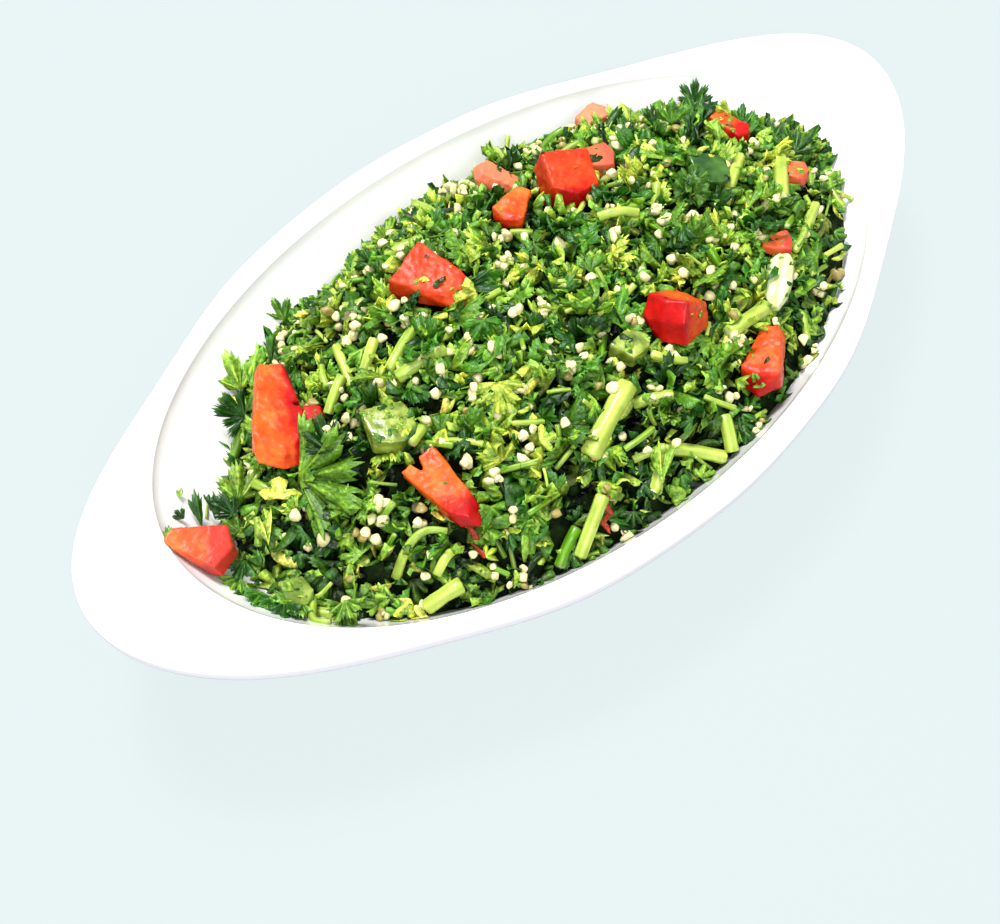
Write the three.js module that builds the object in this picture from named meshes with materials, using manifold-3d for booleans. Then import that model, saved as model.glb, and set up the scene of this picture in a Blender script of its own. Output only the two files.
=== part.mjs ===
// Tabbouleh salad heaped in a white porcelain dish with pointed, upturned ends.
// Millimetres, +Z up. The origin is on the table under the middle of the dish, and +X runs along it.
// The dish is one solid. The chopped herbs, stems and grains are one solid heap, and each piece of
// tomato, cucumber and onion as large as a berry is a solid of its own, let into the heap.
import * as THREE from "three";
import { ConvexGeometry } from "three/addons/geometries/ConvexGeometry.js";
import { mergeVertices } from "three/addons/utils/BufferGeometryUtils.js";
import Module from "manifold-3d";

const wasm = await Module();
wasm.setup();

// ---------------------------------------------------------------- driving dimensions

const dish = {
  halfLength: 130,
  halfWidth: 69.7,
  rimHeight: 38, // at the middle of each long side
  tipRise: 8.7, // how much higher each pointed end is
  tipRisePower: 4,
  outlineWaves: [0.068, 0.029, 0.01], // what turns the oval outline into a lemon's
  cavityHalfLength: 107,
  cavityHalfWidth: 63.5,
  floorHalfLength: 62,
  floorHalfWidth: 34,
  floorTop: 8,
  bowlPower: 2.2, // how late the cavity's wall turns up
  wall: 4.5,
  rimThickness: 4,
  rimRound: 1.3,
  footHalfLength: 64,
  footHalfWidth: 36,
  footWidth: 4.5,
  segments: 48,
};

const heap = {
  centreX: 4,
  contactMean: 0.815, // where the herbs meet the wall, from the floor's edge 0 to the rim 1
  contactLean: 0.095, // they lie higher at the +X end
  contactTilt: 0.03, // and higher on the -Y side
  hollowTurn: 151, // a hollow in the herbs' edge, in degrees round from +X
  hollowDepth: 0.06,
  hollowPower: 24, // how narrow the hollow is
  peak: 51,
  domePower: 2.4,
  reliefHeight: 1.3,
  gap: 0.6, // to the dish
  segments: 36,
};

const herbs = {
  leafCount: 60,
  leafLargest: 22,
  leafSmallest: 11,
  leafThickness: 0.9,
  stemCount: 9,
  stemRadius: 1.25,
  grainCount: 33,
  grainRadius: 1.5,
  sink: 1.4, // how deep a leaf's root lies in the heap
  tallestInMiddle: 8.5,
  tallestAtEdge: 3.2,
  leastRooted: 0.05, // the share of a piece that has to lie in the heap's core
  mostRooted: 0.9,
  finest: 0.08, // edges shorter than this are left out where pieces meet
};

const toppingGap = 0.4;
const guardGrowth = 1.6; // how many gaps a diced piece's guard is larger on each side
const tries = 16; // how often a herb piece is turned and shortened before it is left out
const goldenAngle = Math.PI * (3 - Math.sqrt(5));

// Diced pieces: where each one's middle is, its length, width and height, and its yaw, pitch and
// roll in degrees. The skin is on a piece's +X side. Some narrow towards the flesh or the skin, to
// the given shares of their width and height. A notch is a V from its apex, in shares of the length
// and width, that opens towards an angle round from +X; its opening is an angle too.
const toppings = [
  {
    name: "tomato_1",
    at: [-65.4, 21, 41.5],
    size: [25.5, 14, 8],
    turn: [-122, 6, -14],
    ends: [0.5, 1],
    notch: { apex: [0.04, 0.16], towards: 84, opening: 30 },
  },
  { name: "tomato_2", at: [-63.5, 13, 40.8], size: [7.5, 7.5, 5.5], turn: [-50, 10, 0], ends: [0.8, 1] },
  { name: "tomato_3", at: [-102, 6, 39.2], size: [14, 10.5, 8], turn: [-46, 26, 6], ends: [0.4, 1] },
  { name: "tomato_4", at: [-17.8, 19, 50], size: [17.5, 13, 8.5], turn: [-74, 4, 6], ends: [1.1, 0.6] },
  {
    name: "tomato_5",
    at: [-53, -22.5, 42.5],
    size: [17.5, 9.5, 7.5],
    turn: [-91, 12, 14],
    ends: [1, 0.75],
    notch: { apex: [-0.2, -0.1], towards: 180, opening: 36 },
  },
  { name: "tomato_6", at: [30, 19, 52], size: [12.5, 13, 10.5], turn: [-120, 22, -6] },
  { name: "tomato_7", at: [14.3, 21.5, 51.5], size: [11, 8, 6], turn: [-158, 15, 0], ends: [0.45, 1] },
  { name: "tomato_8", at: [20.5, 33.5, 46.5], size: [11, 8, 5.5], turn: [120, -12, 15], ends: [0.6, 0.9] },
  { name: "tomato_9", at: [40.5, 20, 49], size: [9, 8.5, 7], turn: [-30, 12, 0], ends: [0.7, 1] },
  { name: "tomato_10", at: [18, -30.5, 49.5], size: [11, 11, 10], turn: [180, -22, 22], ends: [0.9, 1] },
  { name: "tomato_11", at: [32, -48.5, 38.5], size: [15.5, 10, 9], turn: [-150, 14, 14], ends: [0.6, 1] },
  { name: "tomato_12", at: [56.5, -29, 44], size: [7.5, 6.5, 5], turn: [-45, 8, 0], ends: [0.6, 1] },
  { name: "tomato_13", at: [80.5, 7.5, 44.5], size: [11, 6.5, 5.5], turn: [-85, 10, 0], ends: [0.6, 0.9] },
  { name: "tomato_14", at: [79.5, -14.5, 43], size: [9, 7, 5.5], turn: [-60, 10, 0], ends: [0.7, 1] },
  { name: "tomato_15", at: [57, 36, 42.5], size: [8.5, 6.5, 5], turn: [-10, 0, 0], ends: [0.7, 1] },
  { name: "cucumber_1", at: [-52.5, -4.5, 46], size: [14, 13, 6], turn: [-70, 8, 0] },
  { name: "cucumber_2", at: [59, -3, 49], size: [13, 11, 6], turn: [-80, 14, 0] },
  { name: "cucumber_3", at: [2.5, -28.5, 48.5], size: [10, 8, 5], turn: [-30, 0, 10] },
  { name: "cucumber_4", at: [-91.5, -15, 30], size: [9, 8, 5], turn: [-60, 20, 0] },
  { name: "onion", at: [49, -37, 43.5], size: [17, 7, 4], turn: [-148, 8, 20] },
];

// Spaces above the contents, between the heap and the dish's wall, that no piece reaches into. Each
// has a brink, its lowest corner nearest the heap's middle.
const freeSpaces = [
  { from: [-92.5, 11.5, 32.4], to: [-82.5, 24, 40.5], brink: [-83, 12, 32.7] },
  { from: [-92, -26.5, 33.4], to: [-78.5, -16.5, 40.5], brink: [-79, -17, 33.7] },
  { from: [-31, -59, 34.3], to: [1.5, -52, 39], brink: [1, -52.5, 34.4] },
];

// Cut stems long enough to be picked out in the heap: from one end to the other.
const longStems = [
  { from: [-4, -34.5], to: [-21.5, -39.5], radius: 2.2 },
  { from: [-42, 23], to: [-48.5, 11], radius: 1.3 },
  { from: [-37, 16.5], to: [-47.5, 9.5], radius: 1.4 },
  { from: [-28, 11], to: [-41, 6.5], radius: 1.4 },
  { from: [-41.5, 2.5], to: [-29.5, 0.5], radius: 1.6 },
  { from: [-14.5, 37.5], to: [-5.5, 33.5], radius: 1.3 },
  { from: [70, -9], to: [66, -21], radius: 2 },
  { from: [10, -46], to: [20, -57], radius: 1.6 },
  { from: [36, -26], to: [46, -20], radius: 1.5 },
  { from: [2, -10], to: [5, -20], radius: 2 },
  { from: [-62, -37], to: [-74, -38], radius: 1.5 },
  { from: [-18, -48], to: [-30, -53], radius: 1.5 },
];

// ---------------------------------------------------------------- helpers

// A repeatable stream of numbers from 0 to 1.
function randomStream(seed) {
  let state = seed;
  return () => {
    state = (state + 0x6d2b79f5) | 0;
    let t = Math.imul(state ^ (state >>> 15), 1 | state);
    t = (t + Math.imul(t ^ (t >>> 7), 61 | t)) ^ t;
    return ((t ^ (t >>> 14)) >>> 0) / 4294967296;
  };
}

const between = (random, low, high) => low + (high - low) * random();
const degrees = THREE.MathUtils.degToRad;

// One closed surface through rings of points. A ring of a single point closes an end.
function loft(rings) {
  const positions = [];
  const starts = rings.map((ring) => {
    const start = positions.length / 3;
    for (const point of ring) positions.push(point.x, point.y, point.z);
    return start;
  });
  const indices = [];
  for (let k = 0; k + 1 < rings.length; k++) {
    const [inner, outer] = [rings[k], rings[k + 1]];
    const sides = Math.max(inner.length, outer.length);
    for (let j = 0; j < sides; j++) {
      const next = (j + 1) % sides;
      const a = starts[k] + (inner.length > 1 ? j : 0);
      const d = starts[k] + (inner.length > 1 ? next : 0);
      const b = starts[k + 1] + (outer.length > 1 ? j : 0);
      const c = starts[k + 1] + (outer.length > 1 ? next : 0);
      if (outer.length > 1) indices.push(a, b, c);
      if (inner.length > 1) indices.push(a, outer.length > 1 ? c : b, d);
    }
  }
  const geometry = new THREE.BufferGeometry();
  geometry.setAttribute("position", new THREE.Float32BufferAttribute(positions, 3));
  geometry.setIndex(indices);
  return geometry;
}

// The solid that a closed geometry encloses.
function solidOf(geometry) {
  const bare = new THREE.BufferGeometry();
  bare.setAttribute("position", geometry.getAttribute("position"));
  bare.setIndex(geometry.getIndex());
  const merged = mergeVertices(bare, 1e-3);
  return new wasm.Manifold(
    new wasm.Mesh({
      numProp: 3,
      vertProperties: new Float32Array(merged.getAttribute("position").array),
      triVerts: new Uint32Array(merged.getIndex().array),
    }),
  );
}

// A solid's surface, ready to show.
function geometryOf(solid) {
  const mesh = solid.getMesh();
  const geometry = new THREE.BufferGeometry();
  geometry.setAttribute("position", new THREE.BufferAttribute(mesh.vertProperties, 3));
  geometry.setIndex(new THREE.BufferAttribute(mesh.triVerts, 1));
  geometry.computeVertexNormals();
  return geometry;
}

// ---------------------------------------------------------------- the dish

const ovalWave = Math.log(dish.halfLength / dish.halfWidth) / 2 - dish.outlineWaves[1];
const waves = [ovalWave, ...dish.outlineWaves];
const meanRadius = dish.halfLength / Math.exp(waves.reduce((sum, wave) => sum + wave, 0));

// How high the rim's crest is above the table, at a distance x from the middle.
const rimHeightAt = (x) =>
  dish.rimHeight + dish.tipRise * Math.pow(Math.abs(x) / dish.halfLength, dish.tipRisePower);

const oval = (halfLength, halfWidth, turn, z) =>
  new THREE.Vector3(halfLength * Math.cos(turn), halfWidth * Math.sin(turn), z);

// The lemon-shaped outer edge, a circle drawn out by even cosine waves.
function outerEdge(turn) {
  const angle = Math.atan2(dish.halfWidth * Math.sin(turn), dish.halfLength * Math.cos(turn));
  const stretch = waves.reduce((sum, wave, k) => sum + wave * Math.cos(2 * (k + 1) * angle), 0);
  const radius = meanRadius * Math.exp(stretch);
  const x = radius * Math.cos(angle);
  return new THREE.Vector3(x, radius * Math.sin(angle), rimHeightAt(x));
}

// The cavity's wall, from the floor's edge at rise 0 to the rim at rise 1.
function cavityWall(turn, rise) {
  const halfLength = THREE.MathUtils.lerp(dish.floorHalfLength, dish.cavityHalfLength, rise);
  const halfWidth = THREE.MathUtils.lerp(dish.floorHalfWidth, dish.cavityHalfWidth, rise);
  const top = rimHeightAt(dish.cavityHalfLength * Math.cos(turn)) - dish.rimRound;
  const z = THREE.MathUtils.lerp(dish.floorTop, top, Math.pow(rise, dish.bowlPower));
  return oval(halfLength, halfWidth, turn, z);
}

// The direction out of the cavity into its wall.
function wallNormal(turn, rise) {
  const step = 1e-3;
  const along = cavityWall(turn + step, rise).sub(cavityWall(turn - step, rise));
  const up = cavityWall(turn, rise + step).sub(cavityWall(turn, Math.max(rise - step, 0)));
  return along.cross(up).normalize();
}

const shiftedWall = (turn, rise, distance) =>
  cavityWall(turn, rise).addScaledVector(wallNormal(turn, rise), distance);

// A point of the outer edge, moved inwards and down.
function edgePoint(turn, inwards, down) {
  const edge = outerEdge(turn);
  const crest = cavityWall(turn, 1);
  const share = inwards / Math.hypot(edge.x - crest.x, edge.y - crest.y);
  const point = edge.clone().lerp(new THREE.Vector3(crest.x, crest.y, edge.z), share);
  point.z = rimHeightAt(point.x) - down;
  return point;
}

const ringWith = (segments) => (point) =>
  Array.from({ length: segments }, (_, k) => point((2 * Math.PI * k) / segments));

function dishGeometry() {
  const underside = dish.floorTop - dish.wall;
  const footInner = [dish.footHalfLength - dish.footWidth, dish.footHalfWidth - dish.footWidth];
  const ringOf = ringWith(dish.segments);
  const innerRises = [0, 0.25, 0.45, 0.62, 0.77, 0.89, 1];
  const outerRises = [0.94, 0.8, 0.6, 0.38, 0.2];
  const rimCrest = (turn) => {
    const width = outerEdge(turn).distanceTo(cavityWall(turn, 1));
    return edgePoint(turn, width - dish.rimRound, 0);
  };
  return loft([
    [new THREE.Vector3(0, 0, dish.floorTop)],
    ...innerRises.map((rise) => ringOf((turn) => cavityWall(turn, rise))),
    ringOf(rimCrest),
    ringOf((turn) => edgePoint(turn, dish.rimRound, 0)),
    ringOf((turn) => edgePoint(turn, 0, dish.rimRound)),
    ringOf((turn) => edgePoint(turn, 0, dish.rimThickness - dish.rimRound)),
    ringOf((turn) => edgePoint(turn, dish.rimRound, dish.rimThickness)),
    ...outerRises.map((rise) => ringOf((turn) => shiftedWall(turn, rise, dish.wall))),
    ringOf((turn) => oval(dish.footHalfLength + 1, dish.footHalfWidth + 1, turn, underside)),
    ringOf((turn) => oval(dish.footHalfLength, dish.footHalfWidth, turn, 0)),
    ringOf((turn) => oval(...footInner, turn, 0)),
    ringOf((turn) => oval(footInner[0] - 1, footInner[1] - 1, turn, underside - 0.5)),
    [new THREE.Vector3(0, 0, underside - 0.5)],
  ]);
}

// ---------------------------------------------------------------- the heap's core

// Where the herbs meet the wall, as a rise along it.
function contactRise(turn) {
  const nearness = Math.max(Math.cos(turn - degrees(heap.hollowTurn)), 0);
  const hollow = heap.hollowDepth * Math.pow(nearness, heap.hollowPower);
  const slope = heap.contactLean * Math.cos(turn) - heap.contactTilt * Math.sin(turn);
  return heap.contactMean + slope - hollow;
}

// Lumps a little larger than a leaf.
const relief = (x, y) =>
  heap.reliefHeight *
  (Math.sin(0.31 * x + 1.7 * Math.sin(0.12 * y)) * Math.cos(0.27 * y + 0.9) +
    0.7 * Math.sin(0.19 * x - 0.33 * y + 2.1));

// The heap's surface: share 0 is its middle and share 1 is where it meets the wall.
function heapPoint(turn, share) {
  const edge = shiftedWall(turn, contactRise(turn), -heap.gap);
  const drop = Math.pow(share, heap.domePower);
  const x = THREE.MathUtils.lerp(heap.centreX, edge.x, share);
  const y = edge.y * share;
  const z = THREE.MathUtils.lerp(heap.peak, edge.z, drop) + relief(x, y) * (1 - drop);
  return new THREE.Vector3(x, y, z);
}

function heapNormal(turn, share) {
  const step = 0.02;
  const outward = heapPoint(turn, share + step).sub(heapPoint(turn, share - step));
  const around = heapPoint(turn + step, share).sub(heapPoint(turn - step, share));
  return outward.cross(around).normalize();
}

// The turn and share of the heap's surface above a place of the plan.
function heapPlace([x, y]) {
  const along = x - heap.centreX;
  let turn = Math.atan2(y / dish.cavityHalfWidth, along / dish.cavityHalfLength);
  let share = 0;
  for (let pass = 0; pass < 8; pass++) {
    const edge = heapPoint(turn, 1);
    const miss = Math.atan2(y, along) - Math.atan2(edge.y, edge.x - heap.centreX);
    turn += Math.atan2(Math.sin(miss), Math.cos(miss));
    share = Math.hypot(along, y) / Math.hypot(edge.x - heap.centreX, edge.y);
  }
  return { turn, share };
}

function coreGeometry() {
  const ringOf = ringWith(heap.segments);
  const shares = [0.17, 0.34, 0.5, 0.65, 0.78, 0.9, 1];
  const wallShares = [0.78, 0.5, 0.2];
  const bottom = dish.floorTop + heap.gap;
  return loft([
    [heapPoint(0, 0)],
    ...shares.map((share) => ringOf((turn) => heapPoint(turn, share))),
    ...wallShares.map((share) =>
      ringOf((turn) => shiftedWall(turn, contactRise(turn) * share, -heap.gap)),
    ),
    [new THREE.Vector3(0, 0, bottom)],
  ]);
}

// ---------------------------------------------------------------- diced pieces

// The corners of a cut chunk, a little uneven. Its +X side is the curved skin, and its -X side, the
// flesh, is lower.
function chunkPoints({ size: [length, width, height], ends = [1, 1] }, seed) {
  const random = randomStream(seed);
  const [fleshShare, skinShare] = ends;
  const skinBulge = 0.16;
  const fleshHeight = 0.8;
  const halfLength = 0.42;
  const uneven = () => between(random, -0.055, 0.055);
  const points = [];
  const addCorner = (x, y, z) => {
    points.push(
      new THREE.Vector3(length * (x + uneven()), width * (y + uneven()), height * (z + uneven())),
    );
  };
  for (const y of [-0.5, 0, 0.5]) {
    for (const z of [-0.5, 0, 0.5]) {
      const bulge = skinBulge * (2 - 4 * y * y - 4 * z * z);
      addCorner(halfLength + bulge, skinShare * y, skinShare * z);
      if (y !== 0 && z !== 0) addCorner(-halfLength, fleshShare * y, fleshShare * fleshHeight * z);
    }
  }
  return points;
}

// The V cut into a chunk's side, from top to bottom.
function notchGeometry({ size: [length, width, height], notch: { apex, towards, opening } }) {
  const points = [];
  for (const z of [-height, height]) {
    const tip = new THREE.Vector3(apex[0] * length, apex[1] * width, z);
    points.push(tip);
    for (const side of [-0.5, 0.5]) {
      const angle = degrees(towards + side * opening);
      points.push(tip.clone().add(new THREE.Vector3(length * Math.cos(angle), length * Math.sin(angle), 0)));
    }
  }
  return new ConvexGeometry(points);
}

// A wedge of a cucumber slice: flat on both faces, with its skin round the outside.
function slicePoints({ size: [length, width, height] }, seed) {
  const random = randomStream(seed);
  const steps = 6;
  const halfAngle = 62;
  const radius = 0.95;
  const tip = -0.5;
  const points = [];
  for (const z of [-0.5, 0.5]) {
    for (let k = 0; k <= steps; k++) {
      const angle = degrees(THREE.MathUtils.lerp(-halfAngle, halfAngle, k / steps));
      const x = length * (radius * Math.cos(angle) + 0.5 - radius);
      const y = width * 0.56 * Math.sin(angle);
      points.push(new THREE.Vector3(x, y, height * (z + between(random, -0.06, 0.06))));
    }
    points.push(new THREE.Vector3(tip * length, between(random, -0.1, 0.1) * width, height * z));
  }
  return points;
}

// A piece of an onion's layer: an oval that bends down at both ends.
function layerPoints({ size: [length, width, height] }) {
  const steps = 6;
  const thickness = 0.6;
  const bend = 0.4;
  const points = [];
  for (let k = 0; k <= steps; k++) {
    const along = THREE.MathUtils.lerp(-1, 1, k / steps);
    const half = 0.5 * Math.sqrt(1.05 - along * along);
    for (const side of [-half, half]) {
      for (const face of [-0.5, 0.5]) {
        const z = face * thickness - bend * along * along;
        points.push(new THREE.Vector3(0.5 * along * length, side * width, z * height));
      }
    }
  }
  return points;
}

const shapes = { tomato: chunkPoints, cucumber: slicePoints, onion: layerPoints };

const kindOf = (topping) => topping.name.split("_")[0];

function toppingMatrix({ at, turn }) {
  const [yaw, pitch, roll] = turn.map(degrees);
  return new THREE.Matrix4()
    .makeRotationFromEuler(new THREE.Euler(roll, pitch, yaw, "ZYX"))
    .setPosition(...at);
}

// The largest body of a solid. Loose scraps and sealed hollows are dropped.
const largestBody = (solid) =>
  solidOf(geometryOf(solid))
    .decompose()
    .sort((a, b) => b.volume() - a.volume())[0];

// Each diced piece, and a slightly larger copy that nothing else may enter. Soft pieces give way
// to the dish and to the pieces before them.
function dice(dishSolid) {
  const raisedDish = dishSolid.add(dishSolid.translate([0, 0, heap.gap]));
  const pieces = [];
  toppings.forEach((topping, k) => {
    const points = shapes[kindOf(topping)](topping, 101 + k);
    const growth = guardGrowth * toppingGap;
    const grown = points.map((p) => p.clone().addScaledVector(p.clone().normalize(), growth));
    const matrix = toppingMatrix(topping);
    const chunk = solidOf(new ConvexGeometry(points).applyMatrix4(matrix));
    const whole = topping.notch
      ? chunk.subtract(solidOf(notchGeometry(topping).applyMatrix4(matrix)))
      : chunk;
    const cut = pieces.reduce((solid, { guard }) => solid.subtract(guard), whole.subtract(raisedDish));
    const guard = solidOf(new ConvexGeometry(grown).applyMatrix4(matrix));
    pieces.push({ topping, solid: largestBody(cut), guard });
  });
  return pieces;
}

// ---------------------------------------------------------------- herbs and grains

// A parsley leaf lying along +Y: blunt lobes fan out from its middle and turn up and down.
function leafGeometry(size, thickness, random) {
  const lobes = [-104, -50, 0, 50, 104];
  const middleY = size * 0.42;
  const notch = size * 0.33;
  const stalk = size * 0.05;
  const rim = [];
  const addRim = (angle, radius, height) => {
    const tip = degrees(-angle);
    rim.push(new THREE.Vector3(radius * Math.sin(tip), middleY + radius * Math.cos(tip), height));
  };
  for (const [k, angle] of lobes.entries()) {
    const reach = size * (0.6 - 0.0016 * Math.abs(angle)) * between(random, 0.88, 1.1);
    const wave = size * between(random, -0.13, 0.13);
    addRim(angle - 11, reach, wave);
    addRim(angle + 13, reach * 0.94, wave * 0.6);
    if (k + 1 < lobes.length) addRim(angle + 28, notch, size * 0.04);
  }
  rim.push(new THREE.Vector3(-stalk, 0, 0), new THREE.Vector3(stalk, 0, 0));
  const cup = between(random, -0.25, 0.35) / size;
  const bent = ({ x, y, z }, lift) => new THREE.Vector3(x, y, z + lift + cup * (x * x + 0.5 * y * y));
  const middle = new THREE.Vector3(0, middleY, 0);
  const half = thickness / 2;
  return loft([
    [bent(middle, half)],
    rim.map((point) => bent(point, half)),
    rim.map((point) => bent(point, -half)),
    [bent(middle, -half)],
  ]);
}

// A cut stem lying along +Y, six-sided, bowed a little and thinner at one end.
function stemGeometry(length, radius, bow) {
  const sides = 6;
  const rings = [0, 0.5, 1].map((share) => {
    const y = length * (share - 0.5);
    const r = radius * (1.05 - 0.15 * share);
    const z = bow * (1 - Math.pow(2 * share - 1, 2));
    return Array.from({ length: sides }, (_, k) => {
      const angle = (2 * Math.PI * k) / sides;
      return new THREE.Vector3(r * Math.cos(angle), y, z + r * Math.sin(angle));
    });
  });
  const end = (ring, y) => [new THREE.Vector3(0, y, ring.reduce((sum, p) => sum + p.z, 0) / sides)];
  return loft([end(rings[0], -length / 2), ...rings, end(rings[2], length / 2)]);
}

// A frame on the heap's surface: +Y lies along it, turned by spin and lifted off it by lift.
function surfaceMatrix(turn, share, spin, lift, height) {
  const up = heapNormal(turn, share);
  const across = new THREE.Vector3(1, 0, 0).cross(up).normalize();
  const side = up.clone().cross(across);
  const basis = new THREE.Matrix4().makeBasis(side.negate(), across, up);
  const place = heapPoint(turn, share).addScaledVector(up, height);
  return new THREE.Matrix4()
    .makeTranslation(place.x, place.y, place.z)
    .multiply(basis)
    .multiply(new THREE.Matrix4().makeRotationZ(spin))
    .multiply(new THREE.Matrix4().makeRotationX(lift));
}

// Even places over the heap: the k-th of count along a sunflower's spiral, with some jitter.
function spiralPlace(k, count, random) {
  const turn = k * goldenAngle + between(random, -0.25, 0.25);
  const share = Math.sqrt((k + between(random, 0.2, 0.8)) / count);
  return { turn, share: Math.min(share, 0.97) };
}

function longStemGeometry({ from, to, radius }) {
  const ends = [from, to].map(([x, y]) => {
    const { turn, share } = heapPlace([x, y]);
    const normal = heapNormal(turn, 0.9 * share);
    return heapPoint(turn, Math.min(share, 0.97)).addScaledVector(normal, radius * 0.2);
  });
  const along = ends[1].clone().sub(ends[0]);
  const geometry = stemGeometry(along.length(), radius, 0.4);
  const side = along.clone().normalize().cross(new THREE.Vector3(0, 0, 1)).normalize();
  const axis = along.normalize();
  const matrix = new THREE.Matrix4().makeBasis(side, axis, side.clone().cross(axis));
  return geometry.applyMatrix4(matrix.setPosition(ends[0].add(ends[1]).multiplyScalar(0.5)));
}

function leafOn(k, random, shortened) {
  const { turn, share } = spiralPlace((k * 29) % herbs.leafCount, herbs.leafCount, random);
  const fraction = Math.sqrt(k / herbs.leafCount);
  const size = shortened * THREE.MathUtils.lerp(herbs.leafLargest, herbs.leafSmallest, fraction);
  const steepest = shortened * THREE.MathUtils.lerp(40, 14, share * share);
  const lift = degrees(between(random, 0, steepest));
  const spin = between(random, 0, 2 * Math.PI);
  const geometry = leafGeometry(size, herbs.leafThickness, random);
  return geometry.applyMatrix4(surfaceMatrix(turn, share, spin, lift, -herbs.sink));
}

function stemOn(k, random) {
  const { turn, share } = spiralPlace((k * 11) % herbs.stemCount, herbs.stemCount, random);
  const radius = herbs.stemRadius * between(random, 0.75, 1.2);
  const geometry = stemGeometry(between(random, 8, 15), radius, 0.3);
  const lift = degrees(between(random, -12, 12));
  const spin = between(random, 0, 2 * Math.PI);
  return geometry.applyMatrix4(surfaceMatrix(turn, share, spin, lift, 0.5));
}

function grainOn(k, random) {
  const { turn, share } = spiralPlace((k * 31) % herbs.grainCount, herbs.grainCount, random);
  const radius = herbs.grainRadius * between(random, 0.85, 1.15);
  const geometry = new THREE.IcosahedronGeometry(radius, 0);
  geometry.scale(1, between(random, 0.8, 1), between(random, 0.75, 0.95));
  geometry.rotateX(between(random, 0, Math.PI));
  return geometry.applyMatrix4(surfaceMatrix(turn, share, between(random, 0, Math.PI), 0, 0.6));
}

// Ways to make each herb piece, the largest first.
const times = (count, make) =>
  Array.from({ length: count }, (_, k) => (random, shortened) => make(k, random, shortened));
const herbPieces = [
  ...longStems.map((stem) => () => longStemGeometry(stem)),
  ...times(herbs.leafCount, leafOn),
  ...times(herbs.stemCount, stemOn),
  ...times(herbs.grainCount, grainOn),
];

function boxSolid({ from, to }) {
  const [low, high] = [new THREE.Vector3(...from), new THREE.Vector3(...to)];
  const size = high.clone().sub(low);
  const middle = low.add(high).multiplyScalar(0.5);
  return solidOf(new THREE.BoxGeometry(...size).translate(...middle));
}

// The slope under each free space, level with the heap at the space's brink.
const slopes = freeSpaces.map(({ brink }) => {
  const { turn, share } = heapPlace(brink);
  const normal = heapNormal(turn, share);
  return { normal, height: normal.dot(new THREE.Vector3(...brink)) };
});

const pointsOf = (geometry) => {
  const positions = geometry.getAttribute("position");
  return Array.from({ length: positions.count }, (_, k) =>
    new THREE.Vector3().fromBufferAttribute(positions, k),
  );
};

// Whether a piece stays near the heap and leaves the free spaces open.
const isLow = (geometry) =>
  pointsOf(geometry).every((point) => {
    const { turn, share } = heapPlace([point.x, point.y]);
    const within = Math.min(share, 1);
    const tallest = THREE.MathUtils.lerp(herbs.tallestInMiddle, herbs.tallestAtEdge, within);
    const isUnder = slopes.every(({ normal, height }) => normal.dot(point) < height);
    return isUnder && point.z < heapPoint(turn, within).z + tallest;
  });

// The core with every herb piece fused on that clears the dish, the diced pieces and the free spaces.
function heapSolid(dishSolid, guards) {
  const random = randomStream(11);
  const core = solidOf(coreGeometry()).subtract(wasm.Manifold.union(guards));
  const clearing = wasm.Manifold.union([...guards, ...freeSpaces.map(boxSolid)]);
  const isClear = (geometry, piece) => {
    const lowered = solidOf(geometry.clone().translate(0, 0, -heap.gap));
    const crossed = [piece.intersect(clearing), piece.intersect(dishSolid), lowered.intersect(dishSolid)];
    return crossed.every((part) => part.isEmpty());
  };
  const isRooted = (piece) => {
    const share = piece.intersect(core).volume() / piece.volume();
    return share > herbs.leastRooted && share < herbs.mostRooted;
  };
  const kept = [];
  for (const make of herbPieces) {
    for (let k = 0; k < tries; k++) {
      const geometry = make(random, 1 - (0.5 * k) / tries);
      if (!isLow(geometry)) continue;
      const piece = solidOf(geometry);
      if (!isClear(geometry, piece) || !isRooted(piece)) continue;
      kept.push(piece);
      break;
    }
  }
  return largestBody(wasm.Manifold.union([core, ...kept]).simplify(herbs.finest));
}

// ---------------------------------------------------------------- materials and nodes

const material = (color, roughness) =>
  new THREE.MeshStandardMaterial({ color, roughness, metalness: 0 });

const materials = {
  porcelain: material(0xf7f6f4, 0.15),
  herbs: material(0x3f7a22, 0.55),
  tomato: material(0xd8321c, 0.25),
  cucumber: material(0xa9b75a, 0.35),
  onion: material(0xe6e4c4, 0.3),
};

const group = new THREE.Group();

function addNode(name, geometry, look) {
  const mesh = new THREE.Mesh(geometry, look);
  mesh.name = name;
  group.add(mesh);
}

const dishBody = dishGeometry();
const dishSolid = solidOf(dishBody);
const diced = dice(dishSolid);

addNode("dish", dishBody, materials.porcelain);
for (const { topping, solid } of diced) {
  addNode(topping.name, geometryOf(solid), materials[kindOf(topping)]);
}
const guards = diced.map(({ guard }) => guard);
addNode("salad", geometryOf(heapSolid(dishSolid, guards)), materials.herbs);

export default group;
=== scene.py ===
"""Tabbouleh salad heaped in a white porcelain dish: glaze, leaves, stems, grains and diced pieces."""

import math

import bmesh
import bpy
import numpy as np
from mathutils import Euler, Matrix, Vector, noise


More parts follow.
